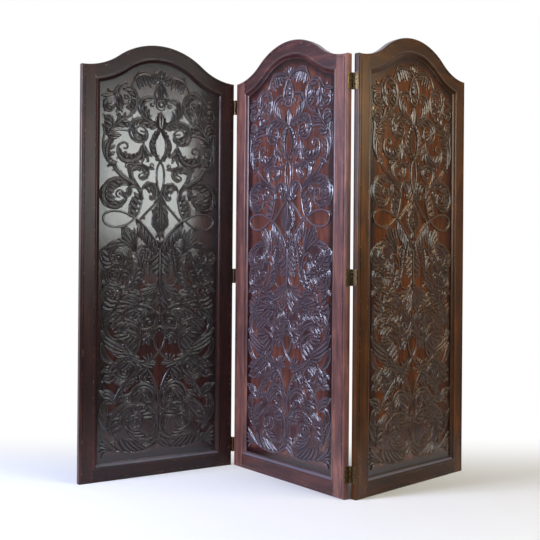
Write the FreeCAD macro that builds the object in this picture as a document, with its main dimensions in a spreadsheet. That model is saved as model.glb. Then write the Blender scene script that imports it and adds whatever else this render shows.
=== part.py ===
"""Three-panel folding screen with arched tops, in millimetres, +Z up.

Each panel is a frame of two stiles, an arched top rail and a straight bottom rail, tenoned
together round a floating board, with a mitred moulding inside the frame.  Butt hinges on the
panel edges join the panels: the valley hinges have their knuckles in front of the faces, the
ridge hinges behind them.  The screen stands half open in a zigzag, centred on the origin.

A panel's own frame has x across its width, y through its thickness from the front face, and
z up from the floor.  A hinge's own frame has its pin on z and its leaves along +y.
"""
import FreeCAD, Part
import math
import os
import Sketcher

doc = FreeCAD.newDocument("FoldingScreen")
sheet = doc.addObject("Spreadsheet::Sheet", "Sizes")
layout = doc.addObject("Spreadsheet::Sheet", "Layout")

SIZES = [
    ("panel_width", 698, "panel width over both stiles"),
    ("shoulder_height", 1709, "floor to the outer corners of the arch"),
    ("crown_rise", 120, "height of the crown above the corners"),
    ("shoulder_radius", 256, "hollow part of the arched top, at its outer edge"),
    ("frame_thickness", 26, "stiles and rails, front to back"),
    ("stile_width", 58, "stile face"),
    ("rail_width", 54, "rail face, measured square to its edge"),
    ("edge_bead_width", 12, "bead round the outside of the frame"),
    ("edge_bead_round", 5, "rounding of that bead's outer edge"),
    ("quirk_width", 2.5, "groove between bead and face"),
    ("quirk_depth", 2.5, "depth of that groove"),
    ("groove_depth", 10, "groove for the board, into stiles and rails"),
    ("board_gap", 2, "room for the board to swell, each edge"),
    ("board_setback", 11.6, "board's front, behind the frame's face"),
    ("board_thickness", 9, "board behind its carving"),
    ("carving_height", 4.5, "main scrolls in front of the board"),
    ("carving_band", 12, "main scrolls, across"),
    ("board_fit", 0.2, "board to groove wall, each side"),
    ("tenon_length", 40, "rail tenon"),
    ("tenon_thickness", 8, "rail tenon"),
    ("tenon_shoulder", 12, "solid rail left outside the tenon"),
    ("tenon_haunch", 4, "solid rail left between tenon and groove"),
    ("tenon_fit", 0.1, "tenon to mortise, each side"),
    ("moulding_width", 22, "inner moulding, across"),
    ("moulding_proud", 2, "its bead in front of the frame's face"),
    ("moulding_bead_width", 11, "its bead, across"),
    ("moulding_step", 1.5, "step between bead and hollow"),
    ("moulding_lip", 2, "square edge at the board"),
    ("moulding_hollow_radius", 16, "hollow between step and lip"),
    ("hinge_length", 64, "hinge leaf and knuckles"),
    ("leaf_width", 22, "leaf on the panel's edge"),
    ("leaf_thickness", 2.2, "hinge leaf"),
    ("leaf_gap", 0.6, "between the leaves when the panels lie flat"),
    ("knuckle_radius", 4, "outside of the hinge knuckles"),
    ("knuckle_gap", 0.3, "between knuckles, and knuckle to the other leaf"),
    ("pivot_offset", 5, "hinge pin in front of or behind the panel's face"),
    ("pin_radius", 1.8, "hinge pin"),
    ("pin_fit", 0.05, "pin to knuckle"),
    ("pin_head_radius", 3, "pin's head"),
    ("pin_head_height", 1.2, "pin's head"),
    ("hinge_foot_height", 94, "floor to the lowest hinge's middle"),
    ("hinge_top_drop", 105, "arch corner down to the highest hinge's middle"),
    ("screw_head_radius", 3.3, "screw head"),
    ("screw_radius", 1.7, "screw shank"),
    ("screw_length", 18, "screw, head included"),
    ("screw_fit", 0.05, "screw to leaf and to wood"),
    ("screw_slot_width", 0.8, "slot in the head"),
    ("screw_slot_depth", 0.7, "slot in the head"),
    ("screw_end_inset", 10, "outer screws from the leaf's ends"),
    ("screw_near_row", 7, "outer screws from the panel's face"),
    ("screw_far_row", 15, "middle screw from the panel's face"),
    ("overrun", 4, "how far a cut runs past what it cuts"),
    ("left_yaw", 30.7, "left panel, degrees from the screen's plane"),
    ("middle_yaw", 50.5, "middle panel, degrees, the other way"),
    ("right_yaw", 42.4, "right panel, degrees"),
]


KNUCKLES = 5
COUNTERSINK_ANGLE = 90
HALF_TURN = 180


# The main scrolls of the carving's left half; the right half mirrors them.  Each is a band bent
# round a centre: the centre's place over half the field's width and up the field's side, its
# radius over half the width, and the angles in degrees between which it runs.
SCROLL_SHARES = [
    (0.72, 0.096, 0.27, 150, 470),
    (0.47, 0.103, 0.27, 108, 228),
    (0.44, 0.157, 0.55, -14, 66),
    (0.74, 0.169, 0.15, -170, 120),
    (0.43, 0.237, 0.20, -30, 270),
    (0.76, 0.328, 0.32, -75, 42),
    (0.69, 0.368, 0.28, -20, 130),
    (0.84, 0.367, 0.10, -60, 200),
    (0.28, 0.363, 0.18, 75, 230),
    (-0.06, 0.439, 0.38, -66, 4),
    (0.84, 0.494, 0.16, -145, 0),
    (0.24, 0.494, 0.17, -50, 250),
    (0.34, 0.525, 0.42, -82, 2),
    (0.30, 0.542, 0.17, 70, 340),
    (0.22, 0.521, 0.83, 26, 88),
    (0.19, 0.643, 0.12, 75, 285),
    (0.26, 0.695, 0.42, -95, 36),
    (0.26, 0.712, 0.22, 35, 325),
    (0.81, 0.722, 0.12, -20, 220),
    (0.65, 0.771, 0.14, -60, 215),
    (0.47, 0.834, 0.20, 140, 372),
    (0.79, 0.848, 0.31, -55, 64),
    (0.46, 0.845, 0.42, 150, 232),
    (0.62, 0.885, 0.17, 65, 325),
    (0.14, 0.944, 0.10, 165, 372),
    (0.83, 0.945, 0.19, 55, 262),
    (0.44, 0.972, 0.16, -62, 215),
    (0.75, 0.995, 0.25, 42, 168),
]
BOSS_SHARE = 0.03
CENTRE_STEM_SHARES = (0.47, 0.59)
CREST_BOSS_SHARES = (0.959, 0.05)


class Size:
    """A value with the expression that ties it to the spreadsheet."""

    def __init__(self, value, text):
        self.value = value
        self.text = text

    @staticmethod
    def of(other):
        return other if isinstance(other, Size) else Size(other, repr(other))

    def _join(self, other, value, sign):
        return Size(value, "(" + self.text + " " + sign + " " + other.text + ")")

    def __add__(self, other):
        other = Size.of(other)
        if other.text == "0":
            return self
        if self.text == "0":
            return other
        return self._join(other, self.value + other.value, "+")

    def __sub__(self, other):
        other = Size.of(other)
        if other.text == "0":
            return self
        return self._join(other, self.value - other.value, "-")

    def __mul__(self, other):
        other = Size.of(other)
        return self._join(other, self.value * other.value, "*")

    def __truediv__(self, other):
        other = Size.of(other)
        return self._join(other, self.value / other.value, "/")

    def __neg__(self):
        return self if self.text == "0" else Size(-self.value, "(0 - " + self.text + ")")


ZERO = Size(0.0, "0")


def size_sqrt(a):
    return Size(math.sqrt(a.value), "sqrt(" + a.text + ")")


def size_sin(a):
    return Size(math.sin(math.radians(a.value)), "sin(" + a.text + ")")


def size_cos(a):
    return Size(math.cos(math.radians(a.value)), "cos(" + a.text + ")")


def size_atan(a):
    return Size(math.degrees(math.atan(a.value)), "atan(" + a.text + ")")


def size_least(a, b):
    return Size(min(a.value, b.value), "min(" + a.text + "; " + b.text + ")")


def size_most(a, b):
    return Size(max(a.value, b.value), "max(" + a.text + "; " + b.text + ")")


known = {}
for row, (alias, number, note) in enumerate(SIZES, start=1):
    sheet.set("A%d" % row, alias)
    sheet.set("B%d" % row, str(number))
    sheet.set("C%d" % row, note)
    sheet.setAlias("B%d" % row, alias)
    known[alias] = Size(float(number), "Sizes." + alias)
doc.recompute()

rows_used = []


def derived(alias, size):
    """Keeps a worked-out size under a name of its own."""
    rows_used.append(alias)
    row = len(rows_used)
    layout.set("A%d" % row, alias)
    layout.set("B%d" % row, "=" + size.text)
    layout.setAlias("B%d" % row, alias)
    return Size(size.value, "Layout." + alias)


width = known["panel_width"]
shoulder = known["shoulder_height"]
rise = known["crown_rise"]
thick = known["frame_thickness"]
stile = known["stile_width"]
rail = known["rail_width"]
over = known["overrun"]
setback = known["board_setback"]

# The arched top: a hollow arc from each corner and one round arc between them, tangent to each
# other.  Lines inside it are parallel curves about the same centres.
half = derived("half_width", width / 2)
arch_angle = derived("arch_angle", size_atan(rise / half) * 2)
crown_radius = derived(
    "crown_radius", (half * half + rise * rise) / (rise * 2) - known["shoulder_radius"])
hollow_z = derived("hollow_centre_height", shoulder + known["shoulder_radius"])
crown_z = derived("crown_centre_height", shoulder + rise - crown_radius)
arch_sin = derived("arch_sine", size_sin(arch_angle))
arch_cos = derived("arch_cosine", size_cos(arch_angle))
groove_front = derived("groove_front", setback - known["board_fit"])
groove_width = derived("groove_width", known["board_thickness"] + known["board_fit"] * 2)
tongue = derived("tongue", known["groove_depth"] - known["board_gap"])
tenon_front = derived("tenon_front", (thick - known["tenon_thickness"]) / 2)
half_gap = derived("half_gap", known["leaf_gap"] / 2)
edge_gap = derived("edge_gap", half_gap + known["leaf_thickness"])


def hollow_radius(inset):
    return known["shoulder_radius"] + inset


def arch_height(x, inset):
    """Height of the hollow arc at x from the panel's side, for a line that far inside."""
    r = hollow_radius(inset)
    return hollow_z - size_sqrt(r * r - x * x)


def arch_line(x, inset, rightward):
    """Steps of the whole arch from one side to the other, x in from each."""
    r = hollow_radius(inset)
    c = crown_radius - inset
    bend_x = r * arch_sin
    bend_z = hollow_z - r * arch_cos
    end_z = arch_height(x, inset)
    left = [("arc", bend_x, bend_z, ZERO, hollow_z, r, True)]
    if rightward:
        return [("to", x, end_z)] + left + [
            ("arc", width - bend_x, bend_z, half, crown_z, c, False),
            ("arc", width - x, end_z, width, hollow_z, r, True)]
    return [("to", width - x, end_z),
            ("arc", width - bend_x, bend_z, width, hollow_z, r, False),
            ("arc", bend_x, bend_z, half, crown_z, c, True),
            ("arc", x, end_z, ZERO, hollow_z, r, False)]


def box_outline(x0, z0, x1, z1):
    return [("to", x0, z0), ("to", x1, z0), ("to", x1, z1), ("to", x0, z1)]


def mirrored(outline, about):
    """The outline seen in a mirror that swaps x for about - x."""
    flipped = []
    for step in outline:
        if step[0] == "to":
            flipped.append(("to", about - step[1], step[2]))
        else:
            kind, x, z, cx, cz, r, turn = step
            flipped.append((kind, about - x, z, about - cx, cz, r, not turn))
    return flipped


def origin_plane(body, plane):
    for feature in body.Origin.OriginFeatures:
        if feature.Role == plane + "_Plane":
            return feature
    raise ValueError("no plane " + plane)


def pin_point(sketch, item, end, x, z):
    """Holds one point of a sketch at x, z."""
    if x.text == "0":
        sketch.addConstraint(Sketcher.Constraint("PointOnObject", item, end, -2))
    else:
        k = sketch.addConstraint(Sketcher.Constraint("DistanceX", -1, 1, item, end, x.value))
        sketch.setExpression("Constraints[%d]" % k, x.text)
    if z.text == "0":
        sketch.addConstraint(Sketcher.Constraint("PointOnObject", item, end, -1))
    else:
        k = sketch.addConstraint(Sketcher.Constraint("DistanceY", -1, 1, item, end, z.value))
        sketch.setExpression("Constraints[%d]" % k, z.text)


def draw(body, name, plane, level, outlines, circles=(), axis=None):
    """A sketch on one of the body's origin planes, moved along that plane's axis by level."""
    sketch = body.newObject("Sketcher::SketchObject", name)
    sketch.AttachmentSupport = [(origin_plane(body, plane), "")]
    sketch.MapMode = "FlatFace"
    if level.text != "0":
        shift = -level if plane == "XZ" else level
        sketch.setExpression("AttachmentOffset.Base.z", shift.text)
    for outline in outlines:
        steps = outline[1:] + [("to",) + tuple(outline[0][1:3])]
        at = outline[0]
        ends = []
        first = None
        for step in steps:
            a = FreeCAD.Vector(at[1].value, at[2].value, 0)
            b = FreeCAD.Vector(step[1].value, step[2].value, 0)
            if step[0] == "to":
                item = sketch.addGeometry(Part.LineSegment(a, b), False)
                start_end, finish_end = 1, 2
            else:
                centre = FreeCAD.Vector(step[3].value, step[4].value, 0)
                turn = step[6]
                low, high = (a, b) if turn else (b, a)
                a0 = math.atan2(low.y - centre.y, low.x - centre.x)
                a1 = math.atan2(high.y - centre.y, high.x - centre.x)
                if a1 <= a0:
                    a1 += 2 * math.pi
                circle = Part.Circle(centre, FreeCAD.Vector(0, 0, 1), step[5].value)
                item = sketch.addGeometry(Part.ArcOfCircle(circle, a0, a1), False)
                start_end, finish_end = (1, 2) if turn else (2, 1)
                k = sketch.addConstraint(Sketcher.Constraint("Radius", item, step[5].value))
                sketch.setExpression("Constraints[%d]" % k, step[5].text)
            ends.append((item, start_end, finish_end, at))
            at = step
        for n, (item, start_end, finish_end, at) in enumerate(ends):
            after, after_start, _, _ = ends[(n + 1) % len(ends)]
            sketch.addConstraint(
                Sketcher.Constraint("Coincident", item, finish_end, after, after_start))
            pin_point(sketch, item, start_end, at[1], at[2])
    for x, z, r in circles:
        centre = FreeCAD.Vector(x.value, z.value, 0)
        item = sketch.addGeometry(
            Part.Circle(centre, FreeCAD.Vector(0, 0, 1), r.value), False)
        pin_point(sketch, item, 3, x, z)
        k = sketch.addConstraint(Sketcher.Constraint("Radius", item, r.value))
        sketch.setExpression("Constraints[%d]" % k, r.text)
    if axis is not None:
        height, reach = axis
        item = sketch.addGeometry(Part.LineSegment(
            FreeCAD.Vector(0, height.value, 0), FreeCAD.Vector(reach.value, height.value, 0)), True)
        pin_point(sketch, item, 1, ZERO, height)
        pin_point(sketch, item, 2, reach, height)
    return sketch


def volume_of(body):
    doc.recompute()
    return body.Shape.Volume


def pad(body, sketch, plane, depth):
    """Adds the sketch's area, towards the positive end of the plane's axis."""
    feature = body.newObject("PartDesign::Pad", sketch.Name + "Pad")
    feature.Profile = sketch
    feature.Reversed = plane == "XZ"
    feature.setExpression("Length", depth.text)
    sketch.Visibility = False
    return feature


def pocket(body, sketch, plane, depth):
    """Cuts the sketch's area away, towards the positive end of the plane's axis."""
    before = volume_of(body)
    feature = body.newObject("PartDesign::Pocket", sketch.Name + "Pocket")
    feature.Profile = sketch
    feature.Reversed = plane != "XZ"
    feature.setExpression("Length", depth.text)
    if not volume_of(body) < before:
        raise ValueError(sketch.Name + " cuts nothing")
    return feature


def round_edges(body, base, radius, on_line):
    """Rounds the edges of a feature whose ends and middle are all on the line."""
    doc.recompute()
    names = []
    for n, edge in enumerate(base.Shape.Edges, start=1):
        low, high = edge.ParameterRange
        points = [edge.valueAt(low), edge.valueAt((low + high) / 2), edge.valueAt(high)]
        if all(on_line(p) for p in points):
            names.append("Edge%d" % n)
    if not names:
        raise ValueError("no edges to round on " + body.Name)
    fillet = body.newObject("PartDesign::Fillet", body.Name + "Round")
    fillet.Base = (base, names)
    fillet.setExpression("Radius", radius.text)
    return fillet


def fused(label, base, tool):
    item = doc.addObject("Part::Fuse", label)
    item.Base = base
    item.Tool = tool
    return item


def near(a, b):
    return abs(a - b) < known["pin_fit"].value


def outer_front_edge(p):
    """True for a point on the frame's outer edge, at the front."""
    x = min(p.x, width.value - p.x)
    r = known["shoulder_radius"].value
    bend = r * arch_sin.value
    if x <= bend:
        top = hollow_z.value - math.sqrt(r * r - x * x)
    else:
        top = crown_z.value + math.sqrt(crown_radius.value ** 2 - (half.value - x) ** 2)
    return near(p.y, 0) and (near(x, 0) or near(p.z, 0) or near(p.z, top))


finished = []


def keep(item, label, place):
    """Names a finished piece and puts it where its panel or hinge stands."""
    item.Label = label
    item.setExpression("Placement", place)
    finished.append((label, item))


# Where the panels stand.  The valley pin is the starting point, and the whole screen is then
# moved so that its floor centre is the origin.
yaws = {"left": known["left_yaw"], "middle": -known["middle_yaw"], "right": known["right_yaw"]}
offset = known["pivot_offset"]


def turned(yaw, x, y):
    return (x * size_cos(yaw) - y * size_sin(yaw), x * size_sin(yaw) + y * size_cos(yaw))


def shifted(base, sign, step):
    if sign > 0:
        return (base[0] + step[0], base[1] + step[1])
    return (base[0] - step[0], base[1] - step[1])


def derived_point(alias, point):
    return (derived(alias + "_x", point[0]), derived(alias + "_y", point[1]))


back_pin_y = derived("back_pin_y", thick + offset)
far_pin_x = derived("far_pin_x", width + edge_gap)
start = (ZERO, ZERO)
free = {}
free["middle"] = derived_point(
    "free_middle", shifted(start, -1, turned(yaws["middle"], -edge_gap, -offset)))
free["left"] = derived_point(
    "free_left", shifted(start, -1, turned(yaws["left"], far_pin_x, -offset)))
free_ridge = derived_point(
    "free_ridge", shifted(free["middle"], 1, turned(yaws["middle"], far_pin_x, back_pin_y)))
free["right"] = derived_point(
    "free_right", shifted(free_ridge, -1, turned(yaws["right"], -edge_gap, back_pin_y)))

ease = known["edge_bead_round"]


def free_corner(panel, x, y):
    step = turned(yaws[panel], x, y)
    return (free[panel][0] + step[0], free[panel][1] + step[1])


west = free_corner("left", ZERO, thick)[0]
east = free_corner("right", width - ease, ease)[0] + ease
south = size_least(
    free_corner("right", ease, ease)[1] - ease,
    free_corner("middle", width - ease, ease)[1] - ease)
north = size_most(
    free_corner("left", width, thick)[1], free_corner("middle", ZERO, thick)[1])
middle_x = derived("floor_middle_x", (west + east) / 2)
middle_y = derived("floor_middle_y", (south + north) / 2)

places = {}
for panel in ("left", "middle", "right"):
    places[panel] = derived_point(
        panel + "_panel", (free[panel][0] - middle_x, free[panel][1] - middle_y))
pins = {
    "valley": derived_point("valley_pin", (-middle_x, -middle_y)),
    "ridge": derived_point(
        "ridge_pin", (free_ridge[0] - middle_x, free_ridge[1] - middle_y)),
}


def placement_text(point, height, angle):
    return ("placement(vector(%s; %s; %s); rotation(vector(0; 0; 1); %s))"
            % (point[0].text, point[1].text, height.text, angle.text))


low_hinge = derived("low_hinge", known["hinge_foot_height"] - known["hinge_length"] / 2)
high_hinge = derived(
    "high_hinge", shoulder - known["hinge_top_drop"] - known["hinge_length"] / 2)
hinge_heights = {
    "bottom": low_hinge,
    "middle": derived("mid_hinge", (low_hinge + high_hinge) / 2),
    "top": high_hinge,
}
screw_spots = [
    (known["screw_near_row"], known["screw_end_inset"]),
    (known["screw_far_row"], known["hinge_length"] / 2),
    (known["screw_near_row"], known["hinge_length"] - known["screw_end_inset"]),
]


def across(x, right_side):
    return width - x if right_side else x


def on_side(outline, right_side):
    return mirrored(outline, width) if right_side else outline


bead = known["edge_bead_width"]
quirk_in = derived("quirk_inside", bead + known["quirk_width"])
groove_line = derived("groove_line", rail - known["groove_depth"])
tenon_top = derived("bottom_tenon_top", groove_line - known["tenon_haunch"])
rail_tenon_low = derived(
    "top_tenon_low", arch_height(stile, groove_line) + known["tenon_haunch"])
rail_tenon_high = derived(
    "top_tenon_high", arch_height(stile, ZERO) - known["tenon_shoulder"])
tenon_tip = derived("tenon_tip", stile - known["tenon_length"])
wide = known["moulding_width"]
cut_front = derived("cut_front", -(known["moulding_proud"] + over))
cut_depth = derived("cut_depth", groove_front + known["moulding_proud"] + over * 2)
mitre_top = derived("mitre_outer_height", arch_height(stile, rail))
mitre_low = derived("mitre_inner_height", arch_height(stile + wide, rail + wide))
mitre_fall = derived("mitre_fall", (mitre_top - mitre_low) / wide)
field_side = derived("field_side", stile + wide)
field_half = derived("field_half_width", half - field_side)
field_foot = derived("field_foot", rail + wide)
field_rise = derived("field_rise", mitre_low - field_foot)
carving_front = derived("carving_front", setback - known["carving_height"])
carving_depth = derived(
    "carving_depth", known["carving_height"] + known["board_thickness"] / 2)
radius = known["knuckle_radius"]
gap = known["knuckle_gap"]
knuckle_pitch = derived("knuckle_pitch", known["hinge_length"] / KNUCKLES)
leaf_start = derived("leaf_start", radius + gap)
leaf_end = derived("leaf_end", offset + known["leaf_width"])
inner_meet = derived("inner_meet", size_sqrt(radius * radius - half_gap * half_gap))
outer_meet = derived("outer_meet", size_sqrt(radius * radius - edge_gap * edge_gap))
doc.recompute()


def tenon_outlines(low, high, fit):
    """Both ends of a rail's tenons, or their mortises when given a fit."""
    left = box_outline(tenon_tip - fit, low - fit, stile, high + fit)
    return left, mirrored(left, width)


def make_stile(panel, right_side, pin_side):
    """One stile; pin_side says whether hinges sit on its outer edge, and at which face."""
    label = panel + ("_right_stile" if right_side else "_left_stile")
    body = doc.addObject("PartDesign::Body", label)
    plan = [("to", ZERO, ZERO), ("to", stile, ZERO), ("to", stile, arch_height(stile, ZERO)),
            ("arc", ZERO, shoulder, ZERO, hollow_z, hollow_radius(ZERO), False)]
    pad(body, draw(body, label + "Face", "XZ", ZERO, [on_side(plan, right_side)]), "XZ", thick)
    slot = box_outline(
        stile - known["groove_depth"], groove_line, stile, arch_height(stile, groove_line))
    pocket(body, draw(body, label + "Groove", "XZ", groove_front, [on_side(slot, right_side)]),
           "XZ", groove_width)
    quirk = [("to", stile, bead), ("to", bead, bead), ("to", bead, arch_height(bead, bead)),
             ("arc", stile, arch_height(stile, bead), ZERO, hollow_z, hollow_radius(bead), True),
             ("to", stile, arch_height(stile, quirk_in)),
             ("arc", quirk_in, arch_height(quirk_in, quirk_in),
              ZERO, hollow_z, hollow_radius(quirk_in), False),
             ("to", quirk_in, quirk_in), ("to", stile, quirk_in)]
    pocket(body, draw(body, label + "Quirk", "XZ", ZERO, [on_side(quirk, right_side)]),
           "XZ", known["quirk_depth"])
    fit = known["tenon_fit"]
    side = 1 if right_side else 0
    mortises = [tenon_outlines(known["tenon_shoulder"], tenon_top, fit)[side],
                tenon_outlines(rail_tenon_low, rail_tenon_high, fit)[side]]
    last = pocket(body, draw(body, label + "Mortises", "XZ", tenon_front - fit, mortises),
                  "XZ", known["tenon_thickness"] + fit * 2)
    if pin_side:
        depth = known["screw_length"] - known["leaf_thickness"] + known["overrun"]
        holes = []
        for height in hinge_heights.values():
            for row, rise_up in screw_spots:
                y = row if pin_side == "front" else thick - row
                holes.append((y, height + rise_up, known["screw_radius"] + known["screw_fit"]))
        level = width - depth if right_side else ZERO
        last = pocket(body, draw(body, label + "Pilots", "YZ", level, [], circles=holes),
                      "YZ", depth)
    round_edges(body, last, known["edge_bead_round"], outer_front_edge)
    return label, body


def make_top_rail(panel):
    label = panel + "_top_rail"
    body = doc.addObject("PartDesign::Body", label)
    plan = arch_line(stile, rail, True) + arch_line(stile, ZERO, False)
    pad(body, draw(body, label + "Face", "XZ", ZERO, [plan]), "XZ", thick)
    pad(body, draw(body, label + "Tenons", "XZ", tenon_front,
                   list(tenon_outlines(rail_tenon_low, rail_tenon_high, ZERO))),
        "XZ", known["tenon_thickness"])
    slot = arch_line(stile, rail, True) + arch_line(stile, groove_line, False)
    pocket(body, draw(body, label + "Groove", "XZ", groove_front, [slot]), "XZ", groove_width)
    quirk = arch_line(stile, quirk_in, True) + arch_line(stile, bead, False)
    last = pocket(body, draw(body, label + "Quirk", "XZ", ZERO, [quirk]),
                  "XZ", known["quirk_depth"])
    round_edges(body, last, known["edge_bead_round"], outer_front_edge)
    return label, body


def make_bottom_rail(panel):
    label = panel + "_bottom_rail"
    body = doc.addObject("PartDesign::Body", label)
    plan = box_outline(stile, ZERO, width - stile, rail)
    pad(body, draw(body, label + "Face", "XZ", ZERO, [plan]), "XZ", thick)
    pad(body, draw(body, label + "Tenons", "XZ", tenon_front,
                   list(tenon_outlines(known["tenon_shoulder"], tenon_top, ZERO))),
        "XZ", known["tenon_thickness"])
    slot = box_outline(stile, groove_line, width - stile, rail)
    pocket(body, draw(body, label + "Groove", "XZ", groove_front, [slot]), "XZ", groove_width)
    quirk = box_outline(stile, bead, width - stile, quirk_in)
    last = pocket(body, draw(body, label + "Quirk", "XZ", ZERO, [quirk]),
                  "XZ", known["quirk_depth"])
    round_edges(body, last, known["edge_bead_round"], outer_front_edge)
    return label, body


def field_point(across_share, up_share):
    """A place in the carved field, from its left side and from its foot."""
    return field_side + field_half * across_share, field_foot + field_rise * up_share


def scroll_outline(x, z, r, from_angle, to_angle):
    """A band bent round x, z, anticlockwise from one angle to the other."""
    def at(reach, angle):
        turn = Size.of(angle)
        return x + reach * size_cos(turn), z + reach * size_sin(turn)

    outer = r + known["carving_band"] / 2
    inner = r - known["carving_band"] / 2
    return [("to",) + at(outer, from_angle),
            ("arc",) + at(outer, to_angle) + (x, z, outer, True),
            ("to",) + at(inner, to_angle),
            ("arc",) + at(inner, from_angle) + (x, z, inner, False)]


def make_carving():
    """The main scrolls, their bosses and the central stem, as one layer for all the boards."""
    forms = []

    def raise_up(name, outlines, circles=()):
        body = doc.addObject("PartDesign::Body", "carving" + name)
        body.AllowCompound = True
        pad(body, draw(body, body.Name + "Outline", "XZ", carving_front, outlines,
                       circles=circles), "XZ", carving_depth)
        forms.append(body)

    for n, (across_share, up_share, radius_share, from_angle, to_angle) in enumerate(SCROLL_SHARES):
        x, z = field_point(across_share, up_share)
        r = field_half * radius_share
        outline = scroll_outline(x, z, r, from_angle, to_angle)
        if (x + r + known["carving_band"]).value < half.value:
            curled = to_angle - from_angle > HALF_TURN
            boss = field_half * BOSS_SHARE
            bosses = [(x, z, boss), (width - x, z, boss)] if curled else []
            raise_up("Scroll%d" % n, [outline, mirrored(outline, width)], bosses)
        else:
            raise_up("Scroll%d" % n, [outline])
            raise_up("Mirrored%d" % n, [mirrored(outline, width)])
    low, high = (field_point(1, share)[1] for share in CENTRE_STEM_SHARES)
    reach = known["carving_band"] / 2
    raise_up("Stem", [box_outline(half - reach, low, half + reach, high)])
    up_share, radius_share = CREST_BOSS_SHARES
    raise_up("Crest", [], [(half, field_point(1, up_share)[1], field_half * radius_share)])
    layer = doc.addObject("Part::MultiFuse", "carving")
    layer.Shapes = forms
    return layer


def make_board(panel):
    """The board and the main scrolls of its carving, loose in its grooves."""
    label = panel + "_carved_board"
    body = doc.addObject("PartDesign::Body", label + "_blank")
    side = stile - tongue
    foot = rail - tongue
    plan = arch_line(side, foot, False) + [("to", side, foot), ("to", width - side, foot)]
    pad(body, draw(body, label + "Face", "XZ", setback, [plan]), "XZ",
        known["board_thickness"])
    return label, fused(label, body, carving)


def moulding_section(place):
    """The moulding's section; place turns across and depth into the sketch's x and z."""
    wide = known["moulding_width"]
    bead_wide = known["moulding_bead_width"]
    proud = known["moulding_proud"]
    bead_radius = (bead_wide * bead_wide / 4 + proud * proud) / (proud * 2)
    lip_top = groove_front - known["moulding_lip"]
    step = known["moulding_step"]
    run = wide - bead_wide
    drop = lip_top - step
    # centre of the hollow, on the room's side of the line from step to lip
    chord = size_sqrt(run * run + drop * drop)
    hollow = known["moulding_hollow_radius"]
    reach = size_sqrt(hollow * hollow - chord * chord / 4)
    hollow_a = (wide + bead_wide) / 2 + reach * drop / chord
    hollow_b = (lip_top + step) / 2 - reach * run / chord
    return place(
        [(ZERO, groove_front), (wide, groove_front), (wide, lip_top)],
        ((bead_wide, step), (hollow_a, hollow_b), hollow),
        (bead_wide, ZERO),
        ((ZERO, ZERO), (bead_wide / 2, bead_radius - proud), bead_radius))


def upright_section(corners, hollow, bead_foot, bead_arc):
    """For an upright moulding: across runs along x, depth along the sketch's second axis."""
    steps = [("to", stile + a, b) for a, b in corners]
    (a, b), (ca, cb), r = hollow
    steps.append(("arc", stile + a, b, stile + ca, cb, r, True))
    steps.append(("to", stile + bead_foot[0], bead_foot[1]))
    (a, b), (ca, cb), r = bead_arc
    steps.append(("arc", stile + a, b, stile + ca, cb, r, False))
    return steps


def level_section(base, upward):
    """For a level or bent moulding: depth runs along the sketch's first axis."""
    def at(a):
        return base + a if upward else base - a

    def place(corners, hollow, bead_foot, bead_arc):
        steps = [("to", b, at(a)) for a, b in corners]
        (a, b), (ca, cb), r = hollow
        steps.append(("arc", b, at(a), cb, at(ca), r, not upward))
        steps.append(("to", bead_foot[1], at(bead_foot[0])))
        (a, b), (ca, cb), r = bead_arc
        steps.append(("arc", b, at(a), cb, at(ca), r, upward))
        return steps
    return place


def make_upright(panel, right_side):
    """A side moulding, mitred at its foot and under the arch."""
    label = panel + ("_right_moulding" if right_side else "_left_moulding")
    body = doc.addObject("PartDesign::Body", label)
    section = on_side(moulding_section(upright_section), right_side)
    pad(body, draw(body, label + "Section", "XY", rail, [section]), "XY", mitre_top - rail)
    foot = [("to", stile - over, rail - over),
            ("to", stile + wide + over, rail - over),
            ("to", stile + wide + over, rail + wide + over)]
    head = [("to", stile - over, mitre_top + over * mitre_fall),
            ("to", stile + wide + over, mitre_low - over * mitre_fall),
            ("to", stile + wide + over, mitre_top + over * mitre_fall)]
    pocket(body, draw(body, label + "Mitres", "XZ", cut_front,
                      [on_side(foot, right_side), on_side(head, right_side)]), "XZ", cut_depth)
    return label, body


def make_foot_moulding(panel):
    label = panel + "_bottom_moulding"
    body = doc.addObject("PartDesign::Body", label)
    section = moulding_section(level_section(rail, True))
    pad(body, draw(body, label + "Section", "YZ", stile, [section]), "YZ", width - stile * 2)
    left = [("to", stile - over, rail - over),
            ("to", stile + wide + over, rail + wide + over),
            ("to", stile - over, rail + wide + over)]
    pocket(body, draw(body, label + "Mitres", "XZ", cut_front, [left, mirrored(left, width)]),
           "XZ", cut_depth)
    return label, body


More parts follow.
